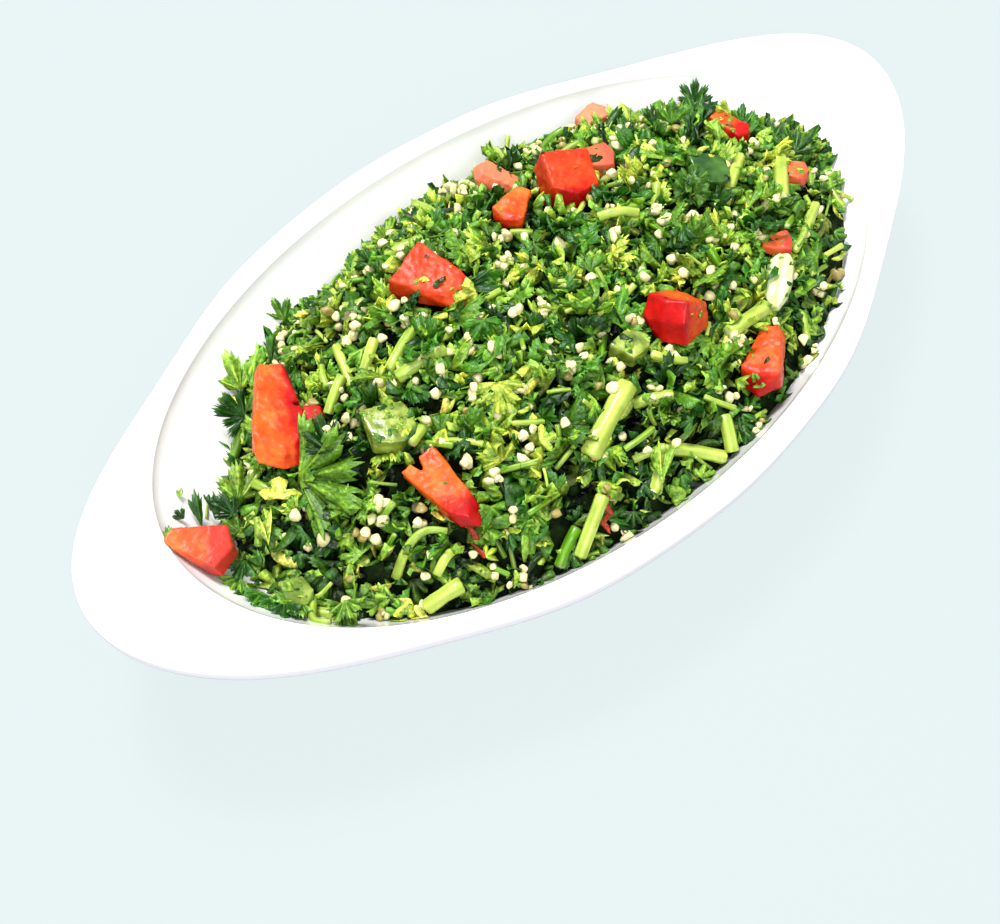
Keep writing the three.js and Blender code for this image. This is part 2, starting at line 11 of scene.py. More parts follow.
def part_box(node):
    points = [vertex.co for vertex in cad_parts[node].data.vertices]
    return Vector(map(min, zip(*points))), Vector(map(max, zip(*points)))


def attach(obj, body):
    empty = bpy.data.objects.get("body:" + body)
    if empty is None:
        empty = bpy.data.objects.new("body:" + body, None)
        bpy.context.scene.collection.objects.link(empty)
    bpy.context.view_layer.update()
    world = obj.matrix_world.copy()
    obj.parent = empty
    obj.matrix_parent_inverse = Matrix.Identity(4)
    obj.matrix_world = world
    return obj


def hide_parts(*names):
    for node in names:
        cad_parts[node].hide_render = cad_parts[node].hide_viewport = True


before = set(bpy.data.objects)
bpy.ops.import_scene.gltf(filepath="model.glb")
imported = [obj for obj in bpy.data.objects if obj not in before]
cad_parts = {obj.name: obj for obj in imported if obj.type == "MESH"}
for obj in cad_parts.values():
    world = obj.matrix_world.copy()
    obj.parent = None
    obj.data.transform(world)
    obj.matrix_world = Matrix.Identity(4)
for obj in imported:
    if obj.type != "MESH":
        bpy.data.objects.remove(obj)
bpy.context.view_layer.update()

MM = 0.001

# ---------------------------------------------------------------- the dish's and the heap's shape, in mm

HALF_LENGTH, HALF_WIDTH = 130.0, 69.7
RIM_HEIGHT, TIP_RISE, TIP_RISE_POWER = 38.0, 8.7, 4
CAVITY_HALF = (107.0, 63.5)
FLOOR_HALF = (62.0, 34.0)
FLOOR_TOP, BOWL_POWER, WALL = 8.0, 2.2, 4.5
RIM_THICKNESS, RIM_ROUND = 4.0, 1.3
FOOT_HALF, FOOT_WIDTH = (64.0, 36.0), 4.5
# The outer edge's radius swells in two, four, six and eight waves round it, by these logarithms.
WAVES = [0.5 * math.log(HALF_LENGTH / HALF_WIDTH) - 0.029, 0.068, 0.029, 0.01]
MEAN_RADIUS = HALF_LENGTH / math.exp(sum(WAVES))

HEAP_X, HEAP_PEAK, DOME_POWER = 4.0, 51.0, 2.4
CONTACT_MEAN, CONTACT_LEAN, CONTACT_TILT, HEAP_GAP = 0.815, 0.095, 0.03, 0.6
HOLLOW_TURN, HOLLOW_DEPTH, HOLLOW_POWER = math.radians(151), 0.06, 24


def rim_height(x):
    """The rim's height, which rises towards the dish's two points."""
    return RIM_HEIGHT + TIP_RISE * (np.abs(x) / HALF_LENGTH) ** TIP_RISE_POWER


def oval(half_length, half_width, turn, z):
    return np.stack([half_length * np.cos(turn), half_width * np.sin(turn), z + 0 * turn], -1)


def outer_edge(turn):
    angle = np.arctan2(HALF_WIDTH * np.sin(turn), HALF_LENGTH * np.cos(turn))
    stretch = sum(wave * np.cos(2 * (k + 1) * angle) for k, wave in enumerate(WAVES))
    radius = MEAN_RADIUS * np.exp(stretch)
    x = radius * np.cos(angle)
    return np.stack([x, radius * np.sin(angle), rim_height(x)], -1)


def unit(vectors):
    return vectors / np.linalg.norm(vectors, axis=-1, keepdims=True)


def turns(count):
    """Even turns once round, in radians."""
    return 2 * np.pi * np.arange(count) / count


def wall_half_sizes(rise):
    """Half the cavity's length and width: rise 0 is its floor's edge and 1 is its rim."""
    return [floor + (rim - floor) * rise for floor, rim in zip(FLOOR_HALF, CAVITY_HALF)]


def wall_height(turn, rise):
    top = rim_height(CAVITY_HALF[0] * np.cos(turn)) - RIM_ROUND
    return FLOOR_TOP + (top - FLOOR_TOP) * rise**BOWL_POWER


def cavity_wall(turn, rise):
    return oval(*wall_half_sizes(rise), turn, wall_height(turn, rise))


def shifted_wall(turn, rise, distance):
    """The cavity's wall, moved outwards by a distance."""
    step = 1e-3
    along = cavity_wall(turn + step, rise) - cavity_wall(turn - step, rise)
    up = cavity_wall(turn, rise + step) - cavity_wall(turn, np.maximum(rise - step, 0))
    return cavity_wall(turn, rise) + unit(np.cross(along, up)) * distance


def edge_point(turn, inwards, down):
    """Points near the rim: this far inwards from its outer edge, and this far below its top."""
    edge, crest = outer_edge(turn), cavity_wall(turn, 1.0 + 0 * turn)
    share = inwards / np.hypot(edge[:, 0] - crest[:, 0], edge[:, 1] - crest[:, 1])
    point = edge + (crest - edge) * share[:, None]
    point[:, 2] = rim_height(point[:, 0]) - down
    return point


def relief(x, y):
    """The heap's broad, shallow waves, in mm."""
    waves = np.sin(0.31 * x + 1.7 * np.sin(0.12 * y)) * np.cos(0.27 * y + 0.9)
    return 1.3 * (waves + 0.7 * np.sin(0.19 * x - 0.33 * y + 2.1))


def contact_rise(turn):
    """Where the herbs meet the wall, from the floor's edge 0 to the rim 1."""
    hollow = HOLLOW_DEPTH * np.maximum(np.cos(turn - HOLLOW_TURN), 0) ** HOLLOW_POWER
    return CONTACT_MEAN + CONTACT_LEAN * np.cos(turn) - CONTACT_TILT * np.sin(turn) - hollow


def heap_point(turn, share):
    """The heap's surface: share 0 is its middle and share 1 is where it meets the wall."""
    edge = shifted_wall(turn, contact_rise(turn), -HEAP_GAP)
    drop = np.abs(share) ** DOME_POWER
    x = HEAP_X + (edge[..., 0] - HEAP_X) * share
    y = edge[..., 1] * share
    z = HEAP_PEAK + (edge[..., 2] - HEAP_PEAK) * drop + relief(x, y) * (1 - drop)
    return np.stack([x, y, z], -1)


def heap_normal(turn, share):
    step = 0.03
    outward = heap_point(turn, share + step) - heap_point(turn, np.maximum(share - step, 0.001))
    off_middle = np.maximum(share, 0.1)
    around = heap_point(turn + step, off_middle) - heap_point(turn - step, off_middle)
    return unit(np.cross(outward, around))


def plan_reach(points):
    """How far points lie from the heap's middle, on the plan."""
    return np.hypot(points[..., 0] - HEAP_X, points[..., 1])


def heap_place(x, y):
    """The turn and share of the heap's surface above these places of the plan."""
    x, y = np.asarray(x, float), np.asarray(y, float)
    turn = np.arctan2(y / CAVITY_HALF[1], (x - HEAP_X) / CAVITY_HALF[0])
    for _ in range(8):
        edge = heap_point(turn, np.ones_like(turn))
        miss = np.arctan2(y, x - HEAP_X) - np.arctan2(edge[..., 1], edge[..., 0] - HEAP_X)
        turn = turn + np.arctan2(np.sin(miss), np.cos(miss))
    return turn, np.hypot(x - HEAP_X, y) / plan_reach(edge)


# The whole millimetres of the plan, at which the heights of the dish and of the heap are kept.
PLAN_HALF = (140, 80)
PLAN = np.meshgrid(*(np.arange(-half, half + 1) for half in PLAN_HALF), indexing="ij")


def make_ground():
    """The height of the dish's inner surface, or of its rim."""
    x, y = PLAN
    low, high = np.zeros(x.shape), np.full(x.shape, 1.2)
    for _ in range(30):
        rise = (low + high) / 2
        half_length, half_width = wall_half_sizes(rise)
        outside = (x / half_length) ** 2 + (y / half_width) ** 2 > 1
        low, high = np.where(outside, rise, low), np.where(outside, high, rise)
    turn = np.arctan2(y / CAVITY_HALF[1], x / CAVITY_HALF[0])
    return np.where(low >= 1, rim_height(x), wall_height(turn, low))


def make_top():
    """The height of the heap's smooth surface."""
    x, y = PLAN
    turn, share = heap_place(x.ravel(), y.ravel())
    return heap_point(turn, np.minimum(share, 1.0))[:, 2].reshape(x.shape)


GROUND, TOP = make_ground(), make_top()


def height_on(grid, points):
    """A grid's height at points of the plan, between its whole millimetres."""
    x, y = (np.clip(points[..., k] + half, 0, 2 * half - 0.001) for k, half in enumerate(PLAN_HALF))
    i, j = x.astype(int), y.astype(int)
    u, v = x - i, y - j
    near = grid[i, j] * (1 - v) + grid[i, j + 1] * v
    far = grid[i + 1, j] * (1 - v) + grid[i + 1, j + 1] * v
    return near * (1 - u) + far * u


def smoothstep(low, high, value):
    share = np.clip((value - low) / (high - low), 0, 1)
    return share * share * (3 - 2 * share)


# Heights over the heap's smooth surface: a herb's colour gets the full painted shade below the first and none
# above the second.
DARK_BELOW, LIGHT_ABOVE = -3.9, 1.9


def openness(points):
    """How open to the light points of the heap are: 0 deep in a hollow and 1 on top. It sets how much painted
    shade the herbs' colours get.
    """
    return smoothstep(DARK_BELOW, LIGHT_ABOVE, points[..., 2] - height_on(TOP, points))


# The herbs' uneven edge: degrees round from +X, and how many mm it lies outside a smooth one.
EDGE = (
    (0, 1), (13, -7), (22, -3), (29, -1), (41, -13), (50, -11), (58, -5), (66, 3), (72, -3), (80, 0),
    (86, 2), (92, -1), (98, -2), (104, -8), (112, 1), (121, 8), (132, 3), (141, 5), (150, 1), (172, 2),
    (185, 9), (200, 9), (213, 7), (225, 4), (240, 2), (285, 1), (300, 0), (311, 1), (320, -1), (345, 1)
)

# Past this share of the heap, no piece laid at random stands more mm above its smooth surface than this.
EDGE_BAND, EDGE_BRISTLE = 0.86, 3.6


def drawn_to_edge(turn, share):
    """Shares of the heap, moved so that it ends at its uneven edge."""
    shift = np.interp(np.degrees(turn) % 360, *zip(*EDGE), period=360)
    reach = plan_reach(heap_point(turn, np.ones_like(turn)))
    return share + shift / reach * smoothstep(0.6, 1.0, share)


# ---------------------------------------------------------------- meshes from arrays


def add_object(name, data):
    made = bpy.data.objects.new(name, data)
    bpy.context.scene.collection.objects.link(made)
    return made


def build_mesh(name, points, faces, colours=None):
    """A smooth object of triangles or quads. Points are in mm, and colours are one a point."""
    mesh = bpy.data.meshes.new(name)
    faces = np.asarray(faces)
    mesh.vertices.add(len(points))
    mesh.vertices.foreach_set("co", (np.asarray(points) * MM).astype(np.float32).ravel())
    mesh.loops.add(faces.size)
    mesh.loops.foreach_set("vertex_index", faces.astype(np.int32).ravel())
    mesh.polygons.add(len(faces))
    starts = np.arange(0, faces.size, faces.shape[1], dtype=np.int32)
    mesh.polygons.foreach_set("loop_start", starts)
    mesh.polygons.foreach_set("use_smooth", np.ones(len(faces), bool))
    mesh.update(calc_edges=True)
    if colours is not None:
        layer = mesh.attributes.new("colour", "FLOAT_COLOR", "POINT")
        rgba = np.concatenate([colours, np.ones((len(points), 1))], 1)
        layer.data.foreach_set("color", rgba.astype(np.float32).ravel())
    mesh.validate()
    return add_object(name, mesh)


def finish_piece(made, material, replaced=None):
    made.data.materials.clear()
    made.data.materials.append(material)
    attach(made, "root")
    if replaced:
        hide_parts(replaced)


def loft_faces(ring_count, segments):
    """Quads between rings of points, closed round each ring."""
    k, j = np.meshgrid(np.arange(ring_count - 1), np.arange(segments), indexing="ij")
    near, far = k * segments, (k + 1) * segments
    onward = (j + 1) % segments
    return np.stack([near + j, far + j, far + onward, near + onward], -1).reshape(-1, 4)


def build_shell(name, rings):
    """A closed smooth object through rings of points, with a flat face at each end."""
    made = build_mesh(name, np.concatenate(rings), loft_faces(len(rings), len(rings[0]))[:, ::-1])
    shell = bmesh.new()
    shell.from_mesh(made.data)
    bmesh.ops.holes_fill(shell, edges=[e for e in shell.edges if e.is_boundary])
    bmesh.ops.recalc_face_normals(shell, faces=shell.faces)
    shell.to_mesh(made.data)
    shell.free()
    made.data.polygons.foreach_set("use_smooth", np.ones(len(made.data.polygons), bool))
    return made


def srgb(*values):
    """A colour given as 0 to 255 on a screen, as the shaders want it."""
    return tuple(((v / 255 + 0.055) / 1.055) ** 2.4 if v > 10 else v / 255 / 12.92 for v in values)


# ---------------------------------------------------------------- materials


def new_material(name, looks):
    """A material whose shader's inputs have these values."""
    material = bpy.data.materials.new(name)
    material.use_nodes = True
    shader = material.node_tree.nodes["Principled BSDF"]
    for key, value in looks.items():
        socket = shader.inputs[key]
        socket.default_value = (*value, 1.0) if socket.type == "RGBA" else value
    return material, material.node_tree, shader


def add_noise(tree, scale, detail, rough=0.55):
    place = tree.nodes.new("ShaderNodeTexCoord")
    texture = tree.nodes.new("ShaderNodeTexNoise")
    texture.inputs["Scale"].default_value = scale
    texture.inputs["Detail"].default_value = detail
    texture.inputs["Roughness"].default_value = rough
    tree.links.new(place.outputs["Object"], texture.inputs["Vector"])
    return texture.outputs["Fac"]


def add_ramp(tree, value, *stops):
    ramp = tree.nodes.new("ShaderNodeValToRGB")
    elements = ramp.color_ramp.elements
    while len(elements) < len(stops):
        elements.new(0.5)
    for element, (position, colour) in zip(elements, stops):
        element.position = position
        element.color = (*colour, 1.0)
    tree.links.new(value, ramp.inputs["Fac"])
    return ramp.outputs["Color"]


def add_patches(tree, scale, detail, *stops):
    """Colours that change from place to place."""
    return add_ramp(tree, add_noise(tree, scale, detail), *stops)


def add_mix(tree, factor, first, second, blend="MIX"):
    mix = tree.nodes.new("ShaderNodeMix")
    mix.data_type = "RGBA"
    mix.blend_type = blend
    colours = [s for s in mix.inputs if s.type == "RGBA"]
    factors = [s for s in mix.inputs if s.type == "VALUE"]
    for socket, value in ((factors[0], factor), (colours[0], first), (colours[1], second)):
        if isinstance(value, bpy.types.NodeSocket):
            tree.links.new(value, socket)
        else:
            socket.default_value = (*value, 1.0) if isinstance(value, tuple) else value
    return [s for s in mix.outputs if s.type == "RGBA"][0]


def add_attribute(tree, name, output="Fac"):
    node = tree.nodes.new("ShaderNodeAttribute")
    node.attribute_name = name
    return node.outputs[output]


def add_stored_colour(tree, *changes):
    """The colour that is stored with a piece's points, multiplied by others."""
    colour = add_attribute(tree, "colour", "Color")
    for change in changes:
        colour = add_mix(tree, 1.0, colour, change, "MULTIPLY")
    return colour


def add_range(tree, value, low, high, new_low=0.0, new_high=1.0):
    node = tree.nodes.new("ShaderNodeMapRange")
    numbers = (("From Min", low), ("From Max", high), ("To Min", new_low), ("To Max", new_high))
    for key, number in numbers:
        node.inputs[key].default_value = number
    tree.links.new(value, node.inputs["Value"])
    return node.outputs["Result"]


def paint_shader(tree, shader, colour, scale, detail, strength, distance):
    """Gives a material its colour, and bumps from noise that are up to a distance in mm high."""
    tree.links.new(colour, shader.inputs["Base Color"])
    bump = tree.nodes.new("ShaderNodeBump")
    bump.inputs["Strength"].default_value = strength
    bump.inputs["Distance"].default_value = distance * MM
    tree.links.new(add_noise(tree, scale, detail), bump.inputs["Height"])
    tree.links.new(bump.outputs["Normal"], shader.inputs["Normal"])


def see_through(tree, shader, colour, share):
    """Lets part of the light through a thin piece, as leaves do."""
    thin = tree.nodes.new("ShaderNodeBsdfTranslucent")
    tree.links.new(colour, thin.inputs["Color"])
    mix = tree.nodes.new("ShaderNodeMixShader")
    mix.inputs["Fac"].default_value = share
    tree.links.new(shader.outputs["BSDF"], mix.inputs[1])
    tree.links.new(thin.outputs["BSDF"], mix.inputs[2])
    output = next(n for n in tree.nodes if n.type == "OUTPUT_MATERIAL")
    tree.links.new(mix.outputs["Shader"], output.inputs["Surface"])


def make_glaze():
    looks = {"Roughness": 0.12, "Coat Weight": 0.5, "Coat Roughness": 0.04}
    material, tree, shader = new_material("porcelain_glaze", looks)
    tint = add_patches(tree, 14, 2, (0.3, (0.94, 0.93, 0.935)), (0.7, (0.955, 0.95, 0.955)))
    paint_shader(tree, shader, tint, 45, 2, 0.06, 0.4)
    return material


def make_leaf_material():
    material, tree, shader = new_material("parsley", {"Roughness": 0.34, "Specular IOR Level": 0.45})
    patches = add_patches(tree, 320, 2, (0.34, (0.55, 0.66, 0.6)), (0.66, (1.25, 1.18, 1.2)))
    # Fine bright and dark spots: partly the leaf's own speckle, partly painted glints with a bluish-white
    # bright end.
    specks_and_glints = add_patches(tree, 1300, 3, (0.36, (0.55, 0.64, 0.55)), (0.64, (1.45, 1.35, 1.5)))
    colour = add_stored_colour(tree, patches, specks_and_glints)
    paint_shader(tree, shader, colour, 900, 3, 0.6, 0.6)
    see_through(tree, shader, colour, 0.28)
    return material


def make_stem_material():
    material, tree, shader = new_material("stems", {"Roughness": 0.3, "Specular IOR Level": 0.5})
    patches = add_patches(tree, 260, 3, (0.3, (0.72, 0.78, 0.6)), (0.7, (1.15, 1.12, 1.2)))
    colour = add_stored_colour(tree, patches)
    paint_shader(tree, shader, colour, 900, 2, 0.3, 0.25)
    see_through(tree, shader, colour, 0.25)
    return material


def make_grain_material():
    looks = {"Roughness": 0.42, "Subsurface Weight": 0.25, "Subsurface Radius": (0.0012, 0.0009, 0.0005)}
    material, tree, shader = new_material("grains", looks)
    patches = add_patches(tree, 700, 3, (0.3, (0.86, 0.83, 0.74)), (0.7, (1.06, 1.06, 1.06)))
    paint_shader(tree, shader, add_stored_colour(tree, patches), 1600, 2, 0.35, 0.25)
    return material


# Painted shade: the core's near-black greens stand for herbs deep in the shade of the heap's hollows.
def make_core_material():
    looks = {"Roughness": 0.85, "Specular IOR Level": 0.1}
    material, tree, shader = new_material("wet_herbs_in_shadow", looks)
    tint = add_patches(tree, 350, 4, (0.35, srgb(8, 16, 4)), (0.7, srgb(26, 46, 12)))
    paint_shader(tree, shader, tint, 600, 3, 0.7, 1.2)
    return material


def make_tomato_material():
    """Orange wet flesh with pale cells and streaks; the side under the skin is saturated red."""
    looks = {"Specular IOR Level": 0.25}
    looks |= {"Subsurface Weight": 0.05, "Subsurface Radius": (0.003, 0.001, 0.0005)}
    material, tree, shader = new_material("tomato", looks)
    streaks = add_noise(tree, 190, 5, 0.6)
    oranges = ((0.32, (196, 60, 12)), (0.5, (212, 82, 18)), (0.66, (222, 104, 30)), (0.78, (236, 150, 82)))
    reds = ((0.34, (172, 26, 6)), (0.58, (196, 44, 12)), (0.78, (218, 90, 44)))
    orange, red = (add_ramp(tree, streaks, *((p, srgb(*c)) for p, c in stops)) for stops in (oranges, reds))
    skin = add_patches(tree, 160, 3, (0.35, srgb(146, 4, 6)), (0.7, srgb(190, 14, 12)))
    colour = add_mix(tree, add_attribute(tree, "blush"), orange, red)
    colour = add_mix(tree, add_attribute(tree, "skin"), colour, skin)
    colour = add_mix(tree, add_attribute(tree, "pale"), colour, srgb(232, 130, 96))
    tree.links.new(add_range(tree, streaks, 0.3, 0.7, 0.28, 0.5), shader.inputs["Roughness"])
    paint_shader(tree, shader, colour, 900, 3, 0.4, 0.4)
    return material


def make_cucumber_material():
    looks = {"Roughness": 0.22, "Coat Weight": 0.3}
    looks |= {"Subsurface Weight": 0.35, "Subsurface Radius": (0.003, 0.004, 0.001)}
    material, tree, shader = new_material("cucumber", looks)
    greens = ((0.32, srgb(74, 96, 24)), (0.5, srgb(118, 138, 44)), (0.68, srgb(164, 178, 80)))
    flesh = add_patches(tree, 300, 4, *greens)
    skin = add_patches(tree, 220, 3, (0.35, srgb(24, 66, 14)), (0.7, srgb(74, 118, 34)))
    colour = add_mix(tree, add_attribute(tree, "skin"), flesh, skin)
    paint_shader(tree, shader, colour, 700, 3, 0.3, 0.3)
    return material


def make_onion_material():
    looks = {"Roughness": 0.2, "Coat Weight": 0.3}
    looks |= {"Subsurface Weight": 0.3, "Subsurface Radius": (0.003, 0.003, 0.002)}
    material, tree, shader = new_material("onion", looks)
    flesh = add_patches(tree, 200, 3, (0.35, srgb(196, 206, 150)), (0.7, srgb(222, 230, 190)))
    colour = add_mix(tree, add_attribute(tree, "skin"), flesh, srgb(166, 188, 96))
    paint_shader(tree, shader, colour, 500, 2, 0.2, 0.3)
    return material


# ---------------------------------------------------------------- the dish


def arc(first, corner, last, steps):
    """Rings that round the corner between two rings."""
    shares = np.linspace(0, 1, steps + 1)[1:]
    return [first * (1 - s) ** 2 + corner * 2 * s * (1 - s) + last * s**2 for s in shares]


# Half the length and width of the small flat face in the middle of a surface.
MIDDLE = (0.5, 0.3)
# The rise at which the outside of the wall begins, below the rim.
NECK = 0.94
# How much the foot ring narrows to its bottom, and from what height, in mm.
FOOT_EASE, FOOT_ROUND = 0.2, 0.5


def make_dish():
    turn = turns(288)
    ones = np.ones(len(turn))
    across = outer_edge(turn) - cavity_wall(turn, ones)
    width, flat = np.linalg.norm(across, axis=1), np.hypot(*across[:, :2].T)
    rings = [oval(*MIDDLE, turn, FLOOR_TOP)]
    rings += [oval(FLOOR_HALF[0] * s, FLOOR_HALF[1] * s, turn, FLOOR_TOP) for s in (0.4, 0.8, 0.97)]
    rings += [cavity_wall(turn, rise * ones) for rise in np.linspace(0.02, 1, 26)]
    rings += arc(rings[-1], edge_point(turn, flat, 0), edge_point(turn, width - RIM_ROUND, 0), 4)
    rings += [edge_point(turn, RIM_ROUND + (width - 2 * RIM_ROUND) * s, 0) for s in (0.8, 0.6, 0.4, 0.2, 0)]
    rings += arc(rings[-1], edge_point(turn, 0, 0), edge_point(turn, 0, RIM_ROUND), 4)
    rings += [edge_point(turn, 0, RIM_THICKNESS - RIM_ROUND)]
    under = edge_point(turn, RIM_ROUND, RIM_THICKNESS)
    rings += arc(rings[-1], edge_point(turn, 0, RIM_THICKNESS), under, 3)
    outer = shifted_wall(turn, NECK * ones, WALL)
    rings += [under * (1 - s) + outer * s for s in (0.25, 0.5, 0.75)]
    rings += [shifted_wall(turn, rise * ones, WALL) for rise in np.linspace(NECK, 0.2, 16)]
    underside = FLOOR_TOP - WALL
    recess = underside - 0.5
    foot_inside = [half - FOOT_WIDTH for half in FOOT_HALF]
    for half, steps in (
        (FOOT_HALF, ((1, underside), (FOOT_EASE, FOOT_ROUND), (0, 0.0))),
        (foot_inside, ((0, 0.0), (-FOOT_EASE, FOOT_ROUND), (-1, recess))),
    ):
        rings += [oval(half[0] + wider, half[1] + wider, turn, z) for wider, z in steps]
    rings += [oval(30, 15, turn, recess), oval(*MIDDLE, turn, recess)]
    finish_piece(build_shell("dish_glaze", rings), make_glaze(), "dish")


# ---------------------------------------------------------------- the heap's dark core


def swelling(x, y):
    """Uneven swells a few millimetres across, from about -1 to 1."""
    broad = 0.58 * np.sin(0.53 * x + 1.9 * np.sin(0.31 * y + 0.4)) * np.cos(0.47 * y + 1.3 * np.sin(0.23 * x))
    return broad + 0.42 * np.sin(0.87 * x - 0.61 * y + 1.2) * np.cos(0.71 * y + 0.35 * x)


def hollow(x, y):
    """Where the herbs leave a hollow: 0 outside and 1 at its middle."""
    return smoothstep(0.12, 0.6, -swelling(x, y))


def clumps(x, y):
    """How many mm the heap's surface swells into clumps and sinks into hollows."""
    return 2.0 * swelling(x, y) - 5.5 * hollow(x, y)


# Clumps die away towards the heap's edge with this power of the share.
CLUMP_POWER = 8
# How far the dark core lies below the heap's surface, in the middle and at the edge, in mm.
CORE_DEPTH, CORE_EDGE_DEPTH = 4.5, 2.2


def clumped_point(turn, share):
    """The heap's surface with its clumps and hollows."""
    point = heap_point(turn, share)
    point[:, 2] += clumps(point[:, 0], point[:, 1]) * np.clip(1 - share**CLUMP_POWER, 0, 1)
    return point


def make_core():
    turn = turns(180)
    rings = []
    for share in np.linspace(0.01, 1, 60):
        drawn = drawn_to_edge(turn, share * np.ones(len(turn)))
        ring = heap_point(turn, np.minimum(drawn, share))
        ring[:, 2] += (clumps(ring[:, 0], ring[:, 1]) - CORE_DEPTH) * (1 - share**CLUMP_POWER)
        ring[:, 2] -= CORE_EDGE_DEPTH * share**CLUMP_POWER
        rings.append(ring)
    for share in (0.9, 0.78, 0.6, 0.4, 0.2):
        rings.append(shifted_wall(turn, contact_rise(turn) * share, -HEAP_GAP - 0.3))
    rings += [oval(*half, turn, FLOOR_TOP + 1) for half in ((20, 10), MIDDLE)]
    finish_piece(build_shell("salad_core", rings), make_core_material(), "salad")


# ---------------------------------------------------------------- shapes of single herb pieces


def thicken(top, thickness, outline, faces):
    """A thin closed piece: one face's points and triangles, doubled, with a wall along the outline."""
    count = len(top)
    lift = np.array([0, 0, thickness / 2])
    points = np.concatenate([top + lift, top - lift])
    follow = np.roll(outline, -1)
    wall = [(outline, outline + count, follow + count), (outline, follow + count, follow)]
    wall = np.concatenate([np.stack(corners, -1) for corners in wall])
    return points, np.concatenate([faces, faces[:, ::-1] + count, wall])


def strip(near, far, j):
    """Triangles between two rows of points, which start at these numbers."""
    corners = [(near + j, near + j + 1, far + j + 1), (near + j, far + j + 1, far + j)]
    return [np.stack(three, -1) for three in corners]


# Columns of one lobe, from its left notch: where each is across the lobe, and how far it reaches.
TEETH = (
    (-0.5, 0.0), (-0.36, 0.86), (-0.22, 0.97), (-0.1, 0.9), (0.02, 1.04), (0.15, 0.92), (0.26, 0.96),
    (0.38, 0.84)
)
DEEP = (
    (-0.5, 0.0), (-0.43, 0.68), (-0.35, 0.84), (-0.27, 0.76), (-0.18, 0.97), (-0.09, 0.88), (0.0, 1.05),
    (0.1, 0.87), (0.18, 0.96), (0.27, 0.77), (0.35, 0.85), (0.43, 0.67)
)
PLAIN = ((-0.5, 0.0), (-0.3, 0.88), (0.0, 1.0), (0.28, 0.9))


def bend(points, amount, along):
    """Bends points lying near a plane round a line across them, by this many radians a unit."""
    if abs(amount) < 1e-3:
        return points
    bent = points.copy()
    radius = 1 / amount - points[:, 2]
    bent[:, along] = radius * np.sin(points[:, along] * amount)
    bent[:, 2] = 1 / amount - radius * np.cos(points[:, along] * amount)
    return bent


def lobed_blade(random, lobes, spread, notch, ruffle, curl, columns=TEETH, thickness=0.03, shares=(0.5, 1)):
    """A parsley blade about one unit long: its pleated lobes fan out round +Y from the end of its stalk.

    spread is in radians to each side, notch is how deep the cuts between lobes are, ruffle how high the
    pleats are, and curl how far the whole blade bends. Returns points, faces, vein and rim: vein is about
    1 on the midribs and below 0 between them, and rim is 1 along the outer edge.
    """
    width = 2 * spread / lobes
    centres = -spread + width * (np.arange(lobes) + 0.5)
    # Lobes at the sides reach less far than the middle one.
    reach = (1 - 0.3 * (np.abs(centres) / spread) ** 1.6) * random.uniform(0.78, 1.1, lobes)
    rows = []
    for k in range(lobes):
        tilt = random.uniform(-1, 1)
        least = reach[k] if k == 0 else min(reach[k], reach[k - 1])
        for place, far in columns:
            angle = centres[k] + width * (place + random.uniform(-0.025, 0.025))
            if far == 0.0:
                radius = least * (0.4 if k == 0 else 1 - notch * random.uniform(0.75, 1.15))
            else:
                radius = reach[k] * far * random.uniform(0.95, 1.05)
            pleat = math.cos(2 * math.pi * place)
            height = 0.8 * tilt + 0.8 * pleat + random.uniform(-0.45, 0.45)
            on_midrib = abs(place) < 0.05
            vein = 1.2 if on_midrib else random.uniform(-0.4, 0.1) - 0.3 * (far == 0.0)
            rows.append((angle, radius, height, vein))
    rows.append((spread, reach[-1] * 0.4, -0.4, -0.35))
    angles, radii, heights, veins = np.array(rows).T
    count = len(angles)
    rolled = random.uniform(-1.0, 0.6) * ruffle
    top, vein = [np.zeros((1, 3))], [np.ones(1)]
    for share in shares:
        radius = share * (share * radii + (1 - share) * radii.mean())
        height = ruffle * heights * share**1.4 + rolled * share**5
        top.append(np.stack([radius * np.sin(angles), radius * np.cos(angles), height], -1))
        vein.append(veins * (1.15 - 0.6 * share))
    top, vein = np.concatenate(top), np.concatenate(vein)
    j = np.arange(count - 1)
    faces = [np.stack([0 * j, j + 2, j + 1], -1)]
    firsts = 1 + count * np.arange(len(shares))
    for near, far in zip(firsts, firsts[1:]):
        faces += strip(near, far, j)
    rim_row, lasts = firsts[-1] + np.arange(count), firsts + count - 1
    outline = np.concatenate([[0], firsts[:-1], rim_row, lasts[:-1][::-1]])
    top = bend(top, random.uniform(-1.0, 1.6) * curl, 1)
    top = bend(top, random.uniform(-1.2, 1.6) * curl, 0)
    points, faces = thicken(top, thickness, outline, np.concatenate(faces)[:, ::-1])
    rim = np.zeros(len(top))
    rim[rim_row] = 1
    return points, faces, np.concatenate([vein, vein + 0.3]), np.concatenate([rim, rim])


def joined(parts):
    """Several (points, faces, vein, rim) as one."""
    points, faces, veins, rims = zip(*parts)
    starts = np.cumsum([0] + [len(p) for p in points[:-1]])
    faces = [f + start for f, start in zip(faces, starts)]
    return tuple(np.concatenate(v) for v in (points, faces, veins, rims))


def turned(part, angle, scale, shift, tilt=0.0):
    points, faces, vein, rim = part
    turn = np.array(Matrix.Rotation(angle, 3, "Z") @ Matrix.Rotation(tilt, 3, "X"))
    return points * scale @ turn.T + np.asarray(shift, float), faces, vein, rim


# How much lighter or darker than the rest the ridges and grooves of a ridged tube are.
STRIPE = 0.9


